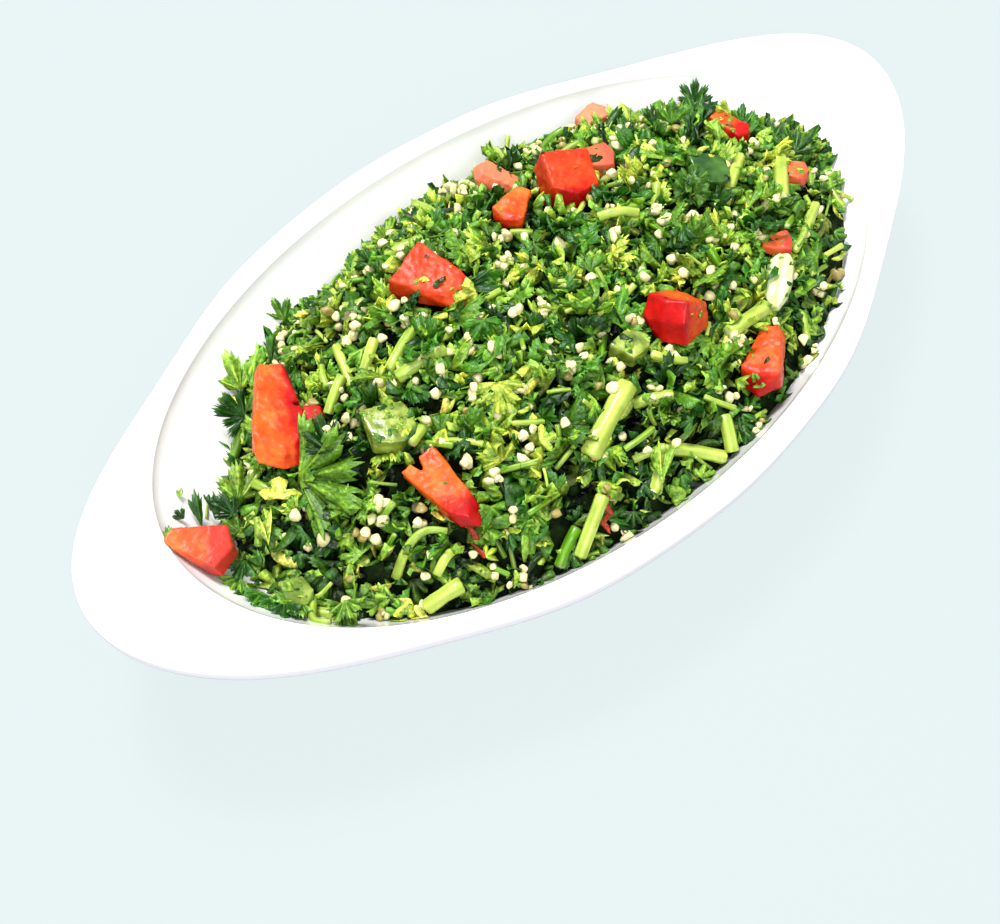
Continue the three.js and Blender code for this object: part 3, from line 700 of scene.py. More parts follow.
def tube(line, radii, sides, ridge=0.0):
    """A closed tube along points. Its vein runs from 0 to 1 along it, and its rim is 1 where it is cut."""
    line = np.asarray(line, float)
    along = unit(np.gradient(line, axis=0))
    side = unit(np.cross(along, [0.13, 0.21, 1.0]))
    up = np.cross(side, along)
    angle, ridges = turns(sides), np.cos(np.arange(sides) * np.pi)
    profile = 1 + ridge * ridges
    x, y = (profile * np.cos(angle))[:, None], (profile * np.sin(angle))[:, None]
    rings = line[:, None] + np.asarray(radii, float)[:, None, None] * (side[:, None] * x + up[:, None] * y)
    points = np.concatenate([rings.reshape(-1, 3), line[:1], line[-1:]])
    quads = loft_faces(len(line), sides)
    j, last = np.arange(sides), (len(line) - 1) * sides
    start_cap = np.stack([0 * j + len(points) - 2, j, (j + 1) % sides], -1)
    end_cap = np.stack([0 * j + len(points) - 1, last + (j + 1) % sides, last + j], -1)
    faces = np.concatenate([quads[:, [0, 1, 2]], quads[:, [0, 2, 3]], start_cap, end_cap])
    cut = np.zeros(len(points))
    cut[-2:] = 1
    stripes = np.tile(ridges, len(line)) * (STRIPE if ridge else 0.0)
    vein = np.repeat(np.linspace(0, 1, len(line)), sides) + stripes
    return points, faces, np.concatenate([vein, [0, 1]]), cut


def sprig(random):
    """A parsley leaf of three blades on short stalks."""
    middle = lobed_blade(random, 5, math.radians(105), 0.5, 0.16, 1.1)
    parts = [turned(middle, random.uniform(-0.1, 0.1), 0.56, (0, 0.44, 0))]
    for side in (-1, 1):
        blade = lobed_blade(random, 3, math.radians(95), 0.45, 0.16, 1.1)
        angle = side * math.radians(random.uniform(52, 74))
        base = (-0.1 * side, 0.26, 0)
        parts.append(turned(blade, angle, 0.5, base, random.uniform(-0.4, 0.4)))
        stalk = tube([(0, 0.16, 0), (-0.06 * side, 0.22, 0), (-0.15 * side, 0.3, 0)], (0.028, 0.025, 0.02), 5)
        parts.append(stalk)
    parts.append(tube([(0, -0.12, 0), (0.01, 0.15, 0.01), (0, 0.5, 0)], (0.036, 0.03, 0.02), 5))
    return joined(parts)


def scrap(random):
    """A bit of a chopped leaf: a few lobes and straight cuts."""
    lobes = int(random.integers(1, 4))
    spread = math.radians(random.uniform(22, 30) * lobes)
    part = lobed_blade(random, lobes, spread, 0.4, 0.2, 1.1, PLAIN, 0.055)
    return turned(part, 0, 1.0, (0, -0.4, 0))


def shred(random):
    """A narrow twisted strip of leaf or stalk, one unit long."""
    steps = 7
    along = np.linspace(-0.5, 0.5, steps)
    bow = random.uniform(-0.35, 0.35)
    half = 0.11 * random.uniform(0.6, 1.5) * (1 - 0.7 * (2 * along) ** 4)
    twist = random.uniform(-1.6, 1.6) * along + random.uniform(-0.4, 0.4)
    middle = np.stack([bow * along**2 * 2, along, random.uniform(-0.4, 0.4) * along**2 * 2], -1)
    side = np.stack([np.cos(twist), 0 * twist, np.sin(twist)], -1) * half[:, None]
    top = np.concatenate([middle - side, middle, middle + side])
    top[steps : 2 * steps, 2] -= 0.03
    j = np.arange(steps - 1)
    faces = strip(0, steps, j) + strip(steps, 2 * steps, j)
    there, back = np.arange(steps), np.arange(2 * steps, 3 * steps)[::-1]
    outline = np.concatenate([there, [2 * steps - 1], back, [steps]])
    points, faces = thicken(top, 0.045, outline[::-1], np.concatenate(faces)[:, ::-1])
    vein = np.zeros(3 * steps)
    vein[steps : 2 * steps] = 0.8
    return points, faces, np.concatenate([vein, vein]), np.zeros(6 * steps)


def fleck(random):
    """A crumb of chopped leaf: a cupped chip with four to six corners."""
    corners = int(random.integers(4, 7))
    turn = 2 * np.pi * (np.arange(corners) + random.uniform(-0.3, 0.3, corners)) / corners
    radius = random.uniform(0.3, 0.62, corners)
    height = random.uniform(-0.16, 0.16, corners)
    top = np.stack([radius * np.cos(turn), radius * np.sin(turn) * random.uniform(0.5, 1), height], -1)
    j = np.arange(1, corners - 1)
    points, faces = thicken(top, 0.12, np.arange(corners)[::-1], np.stack([0 * j, j, j + 1], -1))
    return points, faces, np.zeros(len(points)), np.zeros(len(points))


def grain(random):
    """A cooked grain about two units across, with blunt corners. Some are two grown together."""
    ball = bmesh.new()
    bmesh.ops.create_icosphere(ball, subdivisions=2, radius=1.0)
    ball_points = np.array([v.co for v in ball.verts])
    ball_faces = np.array([[v.index for v in f.verts] for f in ball.faces])
    ball.free()
    parts = []
    for k in range(int(random.integers(1, 3))):
        points = ball_points * random.uniform(0.72, 1.25, 3)
        for _ in range(9):
            way = unit(random.normal(size=3))
            over = points @ way - random.uniform(0.38, 0.8)
            points -= np.maximum(over, 0)[:, None] * way * 0.85
        shift = random.uniform(-0.3, 0.3, 3) + (0, 1.05 * k, 0)
        still = np.zeros(len(points))
        parts.append((points * (1 - 0.22 * k) + shift, ball_faces, still, still))
    return joined(parts)


def several(make_shape, count, seed):
    source = np.random.default_rng(seed)
    return [make_shape(source) for _ in range(count)]


# ---------------------------------------------------------------- laying pieces on the heap

GREEN_STEPS = ((14, 44, 12), (40, 92, 20), (82, 136, 34), (124, 168, 48), (162, 194, 66), (196, 208, 96))
GREENS = np.array([srgb(*step) for step in GREEN_STEPS])


def green(tone):
    """A leaf's green: tone 0 is dark and 1 is bright yellow-green."""
    place = np.clip(np.asarray(tone, float), 0, 1) * (len(GREENS) - 1)
    low = np.minimum(place.astype(int), len(GREENS) - 2)
    share = (place - low)[..., None]
    return GREENS[low] * (1 - share) + GREENS[low + 1] * share


def hull_planes(node):
    """The planes round a diced piece, in mm."""
    box = bmesh.new()
    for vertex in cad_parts[node].data.vertices:
        box.verts.new(vertex.co / MM)
    bmesh.ops.convex_hull(box, input=box.verts)
    box.normal_update()
    planes = np.array([[*f.normal, -f.normal.dot(f.verts[0].co)] for f in box.faces])
    middle = sum((v.co for v in box.verts), Vector()) / len(box.verts)
    inside = planes[:, :3] @ np.array(middle) + planes[:, 3]
    box.free()
    planes[inside > 0] *= -1
    return planes


TOPPINGS = sorted(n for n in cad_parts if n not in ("dish", "salad"))
HULLS = {n: (hull_planes(n), [np.array(c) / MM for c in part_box(n)]) for n in TOPPINGS}

# A point this near outside a diced piece, in mm, counts as inside it.
HULL_MARGIN = 0.15


def share_in_toppings(points):
    """For pieces of points (piece, point, xyz): how much of each lies inside a diced piece."""
    count = np.zeros(points.shape[:2], bool)
    for planes, (low, high) in HULLS.values():
        near = np.all((points > low - 1) & (points < high + 1), axis=-1)
        if near.any():
            depth = points[near] @ planes[:, :3].T + planes[:, 3]
            count[near] |= (depth < HULL_MARGIN).all(axis=1)
    return count.mean(axis=1)


def spots(count, reach, seed):
    """Even places over the heap along a sunflower's spiral, jittered: their turns and shares."""
    own = np.random.default_rng(seed)
    k = np.arange(count)
    turn = k * math.pi * (3 - math.sqrt(5)) + own.uniform(-0.12, 0.12, count)
    share = np.sqrt((k + own.uniform(0, 1, count)) / count) * reach
    return turn, share


def angles(own, low, high, count):
    return np.radians(own.uniform(low, high, count))


def turned_pair(first, second, angle):
    """Two axes across each other, turned by an angle in their plane."""
    cosine, sine = np.cos(angle)[:, None], np.sin(angle)[:, None]
    return first * cosine + second * sine, second * cosine - first * sine


def lying_frames(turn, share, spin, lift, roll):
    """Turning matrices for pieces on the heap: spun round its normal, then lifted and rolled."""
    up = heap_normal(turn, share)
    across = unit(np.cross([1.0, 0, 0], up))
    x_axis, y_axis = turned_pair(np.cross(across, up), across, spin)
    y_axis, z_axis = turned_pair(y_axis, up, lift)
    z_axis, x_axis = turned_pair(z_axis, x_axis, roll)
    return np.stack([x_axis, y_axis, z_axis], -1)


# How near the herbs come to the dish, in mm.
DISH_GAP = 0.35


def keep_in_dish(points):
    """Lifts those points that lie too near the dish or in it, in place."""
    points[..., 2] += np.maximum(height_on(GROUND, points) + DISH_GAP - points[..., 2], 0)


# From this share of the heap outwards, pieces grow smaller and lie flatter.
CALM_FROM = 0.84

# Where nothing lies over a piece that can be picked out: its place on the plan and its radius.
CLEARINGS = ((56, -5, 7.0), (-66.5, -3.5, 7.5), (-13.5, -37, 4.0), (-44.5, 16.5, 6.0), (-35.5, 8.5, 3.0))


def lay(shapes, turn, share, size, height, lift, roll, seed, spin=None, clear=0.12, thin=0.0):
    """Lays a copy of a shape at each place. Returns each shape with its pieces' numbers and points.

    clear is how much of a piece may lie inside a diced piece, and thin is the share of the pieces that
    is left out over the hollows. Without a spin, pieces spin at random and keep to the heap's edge.
    """
    own = np.random.default_rng(seed)
    count = len(turn)
    spin_is_free = spin is None
    if spin_is_free:
        spin = own.uniform(0, 2 * np.pi, count)
        share = drawn_to_edge(turn, share)
        inner = 1 - smoothstep(CALM_FROM, 1.0, share) * 0.75
        far_side = smoothstep(0.82, 1.0, share) * (np.sin(turn) > 0)
        lift, roll, height = lift * inner, roll * inner, height * (0.5 + 0.5 * inner) - far_side
    inside = np.minimum(share, 1.0)
    turning = lying_frames(turn, inside, spin, lift, roll)
    place = clumped_point(turn, share) + heap_normal(turn, inside) * height[:, None]
    kind = own.integers(0, len(shapes), count)
    stays = own.random(count) >= thin * hollow(place[:, 0], place[:, 1])
    if spin_is_free:
        for x, y, radius in CLEARINGS:
            stays &= (height < 0) | (np.hypot(place[:, 0] - x, place[:, 1] - y) > radius)
    laid = []
    for k, shape in enumerate(shapes):
        members = np.nonzero(kind == k)[0]
        if not len(members):
            continue
        points = np.einsum("nij,pj->npi", turning[members], shape[0]) * size[members, None, None]
        points += place[members, None]
        keep_in_dish(points)
        keep = (share_in_toppings(points) <= clear) & stays[members]
        if spin_is_free:
            over = (points[..., 2] - height_on(TOP, points)).max(axis=1)
            keep &= (share[members] < EDGE_BAND) | (over < EDGE_BRISTLE)
        laid.append((shape, members[keep], points[keep]))
    return laid


def lay_at_random(shapes, own, turn, share, sizes, heights, lifts, rolls, seed, **rules):
    """Lays pieces whose sizes and heights in mm, and lifts and rolls in degrees, lie between two bounds."""
    count = len(turn)
    size, height = own.uniform(*sizes, count), own.uniform(*heights, count)
    lift, roll = angles(own, *lifts, count), angles(own, *rolls, count)
    return lay(shapes, turn, share, size, height, lift, roll, seed, **rules)


def join_laid(name, laid, paint, material, least_light=0.02):
    """One object from laid pieces. paint(piece numbers, shape) gives a colour for each point. That colour is
    then darkened by painted shade where the point lies deep in the heap, down to least_light.
    """
    points, faces, colours, start = [], [], [], 0
    for shape, members, placed in laid:
        if not len(members):
            continue
        count, size = placed.shape[:2]
        points.append(placed.reshape(-1, 3))
        offsets = start + np.arange(count)[:, None, None] * size
        faces.append((shape[1][None] + offsets).reshape(-1, 3))
        # Painted shade: the colour is darkened where a point lies deep among the herbs, where shade would
        # fall.
        shade = least_light + (1 - least_light) * openness(placed)
        colours.append((paint(members, shape) * shade[..., None]).reshape(-1, 3))
        start += count * size
    made = build_mesh(name, *(np.concatenate(v) for v in (points, faces, colours)))
    finish_piece(made, material)


def mottle(turn, share):
    """How the herbs' tone drifts from place to place, from about -1 to 1."""
    x, y = share * 100 * np.cos(turn), share * 60 * np.sin(turn)
    return np.sin(0.21 * x + 1.5 * np.sin(0.13 * y)) * np.cos(0.25 * y + 0.11 * x + 0.8)


def random_tones(own, tones, turn, share):
    """Tones between two bounds, that also drift from place to place."""
    return own.uniform(0, 1, len(turn)) * (tones[1] - tones[0]) + tones[0] + 0.16 * mottle(turn, share)


def leaf_paint(tones, seed, vein_light=0.6):
    """Leaf colours: each piece has its tone. Its veins are lighter and warmer, partly their own paler colour
    and partly a painted yellow highlight. Its rim is lighter, which on a blade is a painted highlight along
    the edge that catches the light.
    """
    own = np.random.default_rng(seed)
    warm = own.uniform(0.75, 1.3, (len(tones), 1))

    def paint(members, shape):
        # Painted highlight: the rim is lightened; veins are lightened as their own paler colour.
        lighter = np.maximum(1 + vein_light * shape[2] + 0.35 * shape[3], 0.25)[None, :, None]
        colour = green(tones[members])[:, None] * lighter
        # Veins warmed yellow: partly their own colour, partly a painted yellow highlight.
        colour[..., 0] *= warm[members] * (1 + 0.3 * np.clip(shape[2], 0, 1))
        return colour

    return paint


def make_leaves(material):
    """The chopped leaves: flat dark ones at the bottom and lifted brighter ones on top. The layers' tones are
    painted darker below, as shade, and brighter on top, as light.
    """
    shape_source = np.random.default_rng(21)

    def blades(count, choices, columns, shares=(0.5, 1.0)):
        made = []
        for _ in range(count):
            lobes = int(shape_source.choice(choices))
            spread = math.radians(shape_source.uniform(70, 110) * min(1, lobes / 4))
            part = lobed_blade(shape_source, lobes, spread, 0.5, 0.13, 1.0, columns, 0.035, shares)
            made.append(turned(part, 0, 1.0, (0, -0.35, 0)))
        return made

    plain, curly = blades(24, [2, 3, 4], PLAIN), blades(36, [3, 3, 4, 5], TEETH)
    large = blades(36, [3, 4, 5], DEEP, (0.58, 1.0))
    layers = [
        # name, shapes, count, sizes, heights, lifts, tones, how many are left out over hollows
        ("parsley_under", plain, 560, (6.0, 10.0), (-4.5, -1.5), (-30, 40), (0.02, 0.45), 0.35),
        ("parsley_leaves", curly, 560, (4.5, 9.5), (-2.0, 0.8), (-50, 70), (0.08, 0.75), 0.55),
        ("parsley_top", large, 400, (5.0, 11.0), (0.0, 2.2), (-50, 70), (0.15, 0.76), 0.55),
    ]
    for k, (name, shapes, count, sizes, heights, lifts, tones, thin) in enumerate(layers):
        own = np.random.default_rng(31 + k)
        turn, share = spots(count, 0.97, 41 + k)
        size = own.uniform(0, 1, count) ** 1.4 * (sizes[1] - sizes[0]) + sizes[0]
        size *= 1 - 0.3 * smoothstep(CALM_FROM, 1.0, share)
        height = own.uniform(*heights, count)
        # Each layer's tones: the lower layers' darker tones are painted shade, the top's brighter ones
        # painted light.
        tone = random_tones(own, tones, turn, share)
        lift, roll = angles(own, *lifts, count), angles(own, -60, 60, count)
        laid = lay(shapes, turn, share, size, height, lift, roll, 51 + k, thin=thin)
        join_laid(name, laid, leaf_paint(tone, 61 + k), material)


def make_sprigs(material):
    shapes = several(sprig, 14, 22)
    own = np.random.default_rng(33)
    turn, share = spots(60, 0.94, 34)
    tone = own.uniform(0.1, 0.55, len(turn))
    bounds = (8, 12.5), (-0.5, 1.6), (-15, 35), (-30, 30)
    laid = lay_at_random(shapes, own, turn, share, *bounds, 35, thin=0.7)
    join_laid("parsley_sprigs", laid, leaf_paint(tone, 36), material)


def make_scraps(material):
    shapes = several(scrap, 48, 23)
    # The top layer's slightly brighter tones are painted light, and the lower layer's darker ones painted
    # shade.
    layers = [("parsley_scraps", (-2.5, 0.6), (0.1, 0.8)), ("parsley_scraps_top", (0.2, 2.6), (0.15, 0.9))]
    for k, (name, heights, tones) in enumerate(layers):
        own = np.random.default_rng(71 + k)
        turn, share = spots(900, 1.0, 81 + k)
        tone = random_tones(own, tones, turn, share)
        bounds = (2.8, 6.6), heights, (-60, 75), (-70, 70)
        laid = lay_at_random(shapes, own, turn, share, *bounds, 91 + k, thin=0.45)
        join_laid(name, laid, leaf_paint(tone, 93 + k), material)


def make_shreds(material):
    shapes = several(shred, 24, 24)
    own = np.random.default_rng(101)
    turn, share = spots(420, 0.98, 102)
    tone = own.uniform(0, 1, len(turn)) ** 1.2
    bounds = (4.0, 9.0), (-0.8, 2.2), (-40, 40), (-60, 60)
    laid = lay_at_random(shapes, own, turn, share, *bounds, 103, thin=0.6)
    join_laid("parsley_shreds", laid, leaf_paint(tone, 104, 0.3), material)


def make_flecks(material):
    source = np.random.default_rng(141)
    shapes = [fleck(source) for _ in range(24)]
    turn, share = spots(450, 1.0, 142)
    count = len(turn)
    tone = source.uniform(0.1, 0.9, count)
    size = 0.9 + 1.7 * source.uniform(0, 1, count) ** 1.5
    height = source.uniform(0.4, 3.2, count)
    lift, roll = angles(source, -60, 60, count), angles(source, -60, 60, count)
    laid = lay(shapes, turn, share, size, height, lift, roll, 143, clear=0.0, thin=0.5)
    join_laid("parsley_flecks", laid, leaf_paint(tone, 144), material)


def make_slope_leaves(material):
    """Bits of leaf on the slope from the heap's drawn-in edge down to the far wall."""
    source = np.random.default_rng(151)
    shapes = [scrap(source) for _ in range(16)]
    count = 800
    turn = np.radians(source.uniform(-15, 135, count))
    edge_share = np.minimum(drawn_to_edge(turn, np.ones(count)), 1.0)
    crest = heap_point(turn, edge_share) - (0, 0, CORE_EDGE_DEPTH)
    foot = shifted_wall(turn, contact_rise(turn) * 0.92, -HEAP_GAP)
    place = crest + (foot - crest) * source.uniform(0.1, 1, count)[:, None] + (0, 0, 0.8)
    tones, laid = source.uniform(0, 0.8, count), []
    for k in range(count):
        shape = shapes[k % len(shapes)]
        turning = np.array(Euler(source.uniform(-1, 1, 3) * (0.9, 0.9, math.pi)).to_matrix())
        points = shape[0] * source.uniform(3.0, 6.0) @ turning.T + place[k]
        keep_in_dish(points)
        if share_in_toppings(points[None])[0] < 0.1:
            laid.append((shape, np.array([k]), points[None]))
    join_laid("parsley_slope", laid, leaf_paint(tones, 152), material, 0.5)


# Leaves that can be picked out: the stalk's end, the tip, the roll in degrees, the number of lobes, how
# far they spread to each side in degrees, and the tone.
PICKED_LEAVES = [
    ((-73.3, 3.6, 38.0), (-59.6, -10.2, 45.6), 0, 5, 84, 0.44),  # the large curly leaf
    ((-63.1, 41.3, 26.0), (-60.4, 50.1, 33.4), 10, 3, 70, 0.66),
    ((-61.1, 39.8, 26.0), (-54.3, 44.5, 31.5), -20, 3, 34, 0.62),
    ((-67.9, 33.4, 27.0), (-73.7, 39.3, 29.7), 0, 5, 80, 0.14),
    ((-84.3, 13.8, 29.0), (-79.9, 19.7, 34.5), 20, 3, 60, 0.5),
    ((-69.6, 14.5, 36.0), (-78.1, 14.4, 33.1), 40, 2, 30, 0.4),
    ((-77.3, 20.1, 29.0), (-80.9, 25.7, 31.9), 30, 2, 24, 0.2),
    ((-54.2, 39.1, 31.0), (-48.8, 44.1, 36.9), 30, 1, 14, 0.3),
    ((89.5, 25.0, 35.0), (92.7, 28.7, 40.6), 0, 5, 85, 0.22),
    ((64.6, 19.3, 46.1), (66.7, 24.1, 51.4), 20, 3, 30, 0.2),
    ((69.9, 17.7, 44.9), (73.1, 21.4, 50.4), 0, 3, 70, 0.4),
    ((-13.6, -55.0, 36.7), (-6.6, -49.3, 40.0), 20, 2, 22, 0.78),
    ((43.4, -37.7, 43.0), (44.8, -32.5, 48.7), 30, 3, 34, 0.45),
    ((-98.1, 15.3, 34.6), (-99.0, 18.4, 37.0), 0, 3, 55, 0.1),
    ((-95.2, 21.1, 33.4), (-93.6, 23.6, 34.4), 30, 2, 30, 0.75),
    ((-106.1, 7.1, 41.5), (-103.9, 10.5, 43.5), 30, 1, 24, 0.35),
    ((-95.6, 13.2, 30.6), (-92.1, 19.2, 35.6), 30, 1, 18, 0.2),
    ((-91.5, 14.2, 27.8), (-87.0, 18.8, 32.8), -30, 2, 34, 0.14),
    ((-87.5, 12.2, 28.4), (-83.3, 15.2, 31.4), 20, 2, 34, 0.3),
    ((-88.0, -2.3, 32.4), (-83.1, 5.1, 34.8), 30, 2, 20, 0.88),
    ((-41.0, 51.1, 26.4), (-40.7, 56.8, 30.9), 10, 3, 60, 0.4),
    ((-67.8, 38.4, 25.8), (-70.6, 43.0, 28.1), -20, 3, 50, 0.3),
    ((-94.9, -14.4, 31.0), (-100.1, -16.6, 34.0), 0, 5, 80, 0.3),
    ((-91.5, -17.6, 31.0), (-97.5, -20.1, 34.4), 10, 5, 80, 0.5),
    ((-98.7, -8.5, 31.0), (-102.0, -7.0, 33.6), 0, 3, 60, 0.2),
    ((-85.0, -26.0, 31.0), (-90.5, -29.0, 34.4), -10, 5, 75, 0.45),
    ((12.5, -29.5, 53.6), (16.5, -34.5, 54.4), 0, 3, 36, 0.74),
    ((80.0, -8.0, 44.0), (80.5, -15.0, 47.6), 0, 3, 50, 0.6),
    ((84.0, 8.5, 45.0), (79.5, 12.5, 48.6), 0, 3, 60, 0.7),
    ((70.7, 16.5, 43.0), (71.2, 26.1, 46.0), 0, 5, 85, 0.35),
    ((74.3, 14.6, 43.0), (78.5, 20.6, 46.0), 20, 5, 80, 0.2),
    ((79.7, 16.8, 41.0), (86.6, 20.6, 43.0), -10, 5, 85, 0.25),
    ((88.2, -11.0, 42.0), (94.8, -6.3, 45.0), 0, 5, 85, 0.2),
    ((85.1, 5.0, 42.0), (91.5, 5.8, 45.0), 10, 5, 80, 0.3),
    ((-65.7, 0.6, 44.0), (-62.5, 8.5, 47.0), 0, 5, 80, 0.08),
    ((-64.7, 4.3, 44.0), (-60.4, 9.8, 46.5), 20, 5, 80, 0.2),
    ((-96.5, -10.8, 32.0), (-101.5, -13.5, 34.0), 0, 5, 85, 0.4),
    ((-94.6, -16.8, 33.0), (-98.4, -20.7, 35.0), 10, 5, 80, 0.15),
    ((-98.0, -4.0, 32.0), (-103.0, -6.8, 34.0), 0, 5, 80, 0.55),
    ((-85.7, -26.9, 36.0), (-88.1, -32.0, 36.5), 0, 5, 80, 0.5),
    ((-88.3, 10.5, 31.0), (-90.9, 16.3, 32.5), 0, 5, 80, 0.12),
    ((-90.3, 5.7, 31.0), (-92.4, 10.6, 33.5), 20, 3, 70, 0.3),
    ((-94.4, -1.4, 32.0), (-99.7, -4.8, 33.5), 0, 3, 70, 0.2),
    ((-85.2, 12.9, 31.0), (-86.4, 17.4, 33.5), 0, 3, 70, 0.45),
    ((88.5, -3.6, 42.0), (95.5, -1.5, 43.5), 0, 5, 85, 0.25),
    ((53.9, 26.9, 44.0), (55.7, 33.4, 47.5), 0, 3, 60, 0.45),
    ((51.7, 30.1, 44.0), (53.6, 36.7, 47.0), 0, 1, 16, 0.6),
]

# Thin stems with bends: points on the plan with their height over the heap, radius at each end, tone.
BENT_STEMS = [
    (
        [(-57.5, -29.5, 2.0), (-59.9, -26.9, 2.4), (-63.4, -25.7, 2.4), (-67.6, -25.6, 1.8), (-71, -26.4, 1)],
        0.8,
        1.3,
        0.45,
    ),
    ([(-57.2, -31.8, 2.2), (-61, -32.6, 2.6), (-64.9, -33.7, 2.0)], 1.1, 1.2, 0.75),
    ([(-86.9, -17.5, 3.4), (-90.3, -22.0, 5.0), (-93.2, -26.6, 6.0)], 0.9, 0.95, 0.45),
    ([(-86.9, -17.5, 3.4), (-87.6, -14.0, 3.6), (-87.7, -11.6, 3.2)], 0.7, 0.45, 0.4),
    ([(-86.9, -17.5, 3.4), (-84.8, -17.6, 3.6), (-82.2, -18.2, 3.0)], 0.7, 0.45, 0.4),
    ([(27.8, 36.7, 1.5), (29.4, 39.8, 3.6), (31.3, 43, 5.2), (31.5, 47.5, 6.6)], 0.8, 0.6, 0.65),
    ([(29.4, 39.8, 3.6), (25.5, 41.5, 4.6), (21.5, 43.5, 4.2)], 0.7, 0.6, 0.65),
    ([(31.3, 43, 5.2), (35.5, 44, 6.4), (39.5, 46.5, 6.8)], 0.7, 0.7, 0.65),
    ([(-96.4, 16.4, 2.6), (-95.6, 19.0, 2.4), (-95.2, 21.3, 2.2)], 0.3, 0.3, 0.4),
]

# Red-brown shreds of tomato skin: where each lies on the plan, its length and its yaw.
SKIN_SHREDS = [
    (-24.3, -47.8, 4, 40), (-26.0, -48.6, 5, 70), (-27.6, -50.0, 4.5, 20), (-28.6, -50.8, 4, 100),
    (-53.8, -34.4, 5.5, -100), (-54.8, -36.4, 5, -80), (-36.8, -40.0, 3.5, 10), (16.5, -4.0, 6, 60),
    (18.0, -6.0, 5, 30), (34.0, 4.0, 3.5, 0), (-66.0, -4.0, 3, 60)
]

# Grains that can be picked out: where each lies on the plan, how high, and its radius.
PICKED_GRAINS = [
    (29.5, -52.5, 4.4, 1.9), (19.5, -51.5, 2.0, 1.3), (-64.0, -17.5, 2.4, 1.9), (-88.6, 25.7, 0.3, 1.5),
    (-66.6, -18.5, 2.6, 1.6), (-66.2, -32.9, 2.6, 1.4), (-53.4, 30.3, 2.4, 1.4), (-31.7, -26.6, 2.6, 1.6),
    (-29.0, -27.6, 2.8, 1.4), (-32.6, -29.2, 2.4, 1.4), (39.1, -3.3, 2.6, 1.6), (36.4, -4.6, 2.8, 1.5),
    (31.4, -10.9, 2.6, 1.6), (-2.9, 25.8, 2.6, 1.7), (-2.6, -30.3, 2.8, 1.5), (-0.9, -56.2, 2.4, 1.8),
    (-16.2, -55.5, 2.4, 1.7), (-54.0, -24.0, 3.2, 1.2), (-60.5, 3.5, 3.0, 1.9), (-56.5, 4.0, 3.2, 1.6),
    (26.0, 8.5, 3.0, 2.0), (-94.2, 13.1, 1.6, 1.5), (-91.2, 13.2, 1.8, 1.3), (-89.8, 10.2, 2.2, 1.7),
    (-93.5, -6.7, 2.8, 1.4), (-36.5, 31.5, 2.4, 1.6), (-34.0, 32.0, 2.6, 1.5), (-18.0, 33.0, 2.6, 1.7),
    (-15.5, 31.5, 2.8, 1.5)
]


def placed_at(rows):
    """The turn and share on the heap of rows that start with x and y."""
    return heap_place([row[0] for row in rows], [row[1] for row in rows])


def make_picked_leaves(material):
    source = np.random.default_rng(26)
    facing = np.array([-0.3, -0.3, 0.9])
    shares = (0.25, 0.5, 0.75, 1.0)
    laid = []
    for k, (start, tip, roll, lobes, spread, _) in enumerate(PICKED_LEAVES):
        shape = lobed_blade(source, lobes, math.radians(spread), 0.56, 0.15, 0.3, DEEP, shares=shares)
        start, tip = np.array(start), np.array(tip)
        length = np.linalg.norm(tip - start)
        along = (tip - start) / length
        across = unit(np.cross(along, facing))
        up = np.cross(across, along)
        cosine, sine = math.cos(math.radians(roll)), math.sin(math.radians(roll))
        across, up = across * cosine - up * sine, up * cosine + across * sine
        placed = shape[0] * length @ np.array([across, along, up]) + start
        laid.append((shape, np.array([k]), placed[None]))
    tones = np.array([row[-1] for row in PICKED_LEAVES])
    join_laid("picked_leaves", laid, leaf_paint(tones, 27, 0.9), material)


def smooth_line(points):
    """A curve through points, by Catmull and Rom's formula, with four steps from each to the next."""
    points = np.asarray(points, float)
    padded = np.concatenate([2 * points[:1] - points[1:2], points, 2 * points[-1:] - points[-2:-1]])
    line = []
    for a, b, c, d in zip(padded, padded[1:], padded[2:], padded[3:]):
        slope, bulge, twist = c - a, 2 * a - 5 * b + 4 * c - d, 3 * b - a - 3 * c + d
        line += [0.5 * (2 * b + slope * t + bulge * t**2 + twist * t**3) for t in np.arange(4) / 4]
    return np.array(line + [points[-1]])


def make_skin_shreds(material):
    source = np.random.default_rng(28)
    shapes = [shred(source) for _ in range(4)]
    turn, share = placed_at(SKIN_SHREDS)
    size = np.array([row[2] for row in SKIN_SHREDS])
    spin = np.radians([row[3] + 90.0 for row in SKIN_SHREDS])
    count = len(SKIN_SHREDS)
    lift, roll = angles(source, -30, 30, count), angles(source, -40, 40, count)
    laid = lay(shapes, turn, share, size, np.full(count, 2.2), lift, roll, 29, spin, clear=1.0)
    red_brown = np.array(srgb(150, 48, 18))

    def paint(members, shape):
        return red_brown * (1 + 0.5 * shape[2])[None, :, None] + 0 * members[:, None, None]

    join_laid("skin_shreds", laid, paint, material, 0.4)


def stem_colours(ends, along, tone):
    """Yellow-green, greener towards one end, with pale cut ends."""
    green_end, pale_end = np.array(srgb(122, 168, 42)), np.array(srgb(208, 222, 104))
    body = green_end + (pale_end - green_end) * np.clip(tone + 0.25 * (along - 0.5), -0.3, 1)[..., None]
    cut = np.array(srgb(240, 242, 190))
    return body + (cut - body) * ends[..., None]


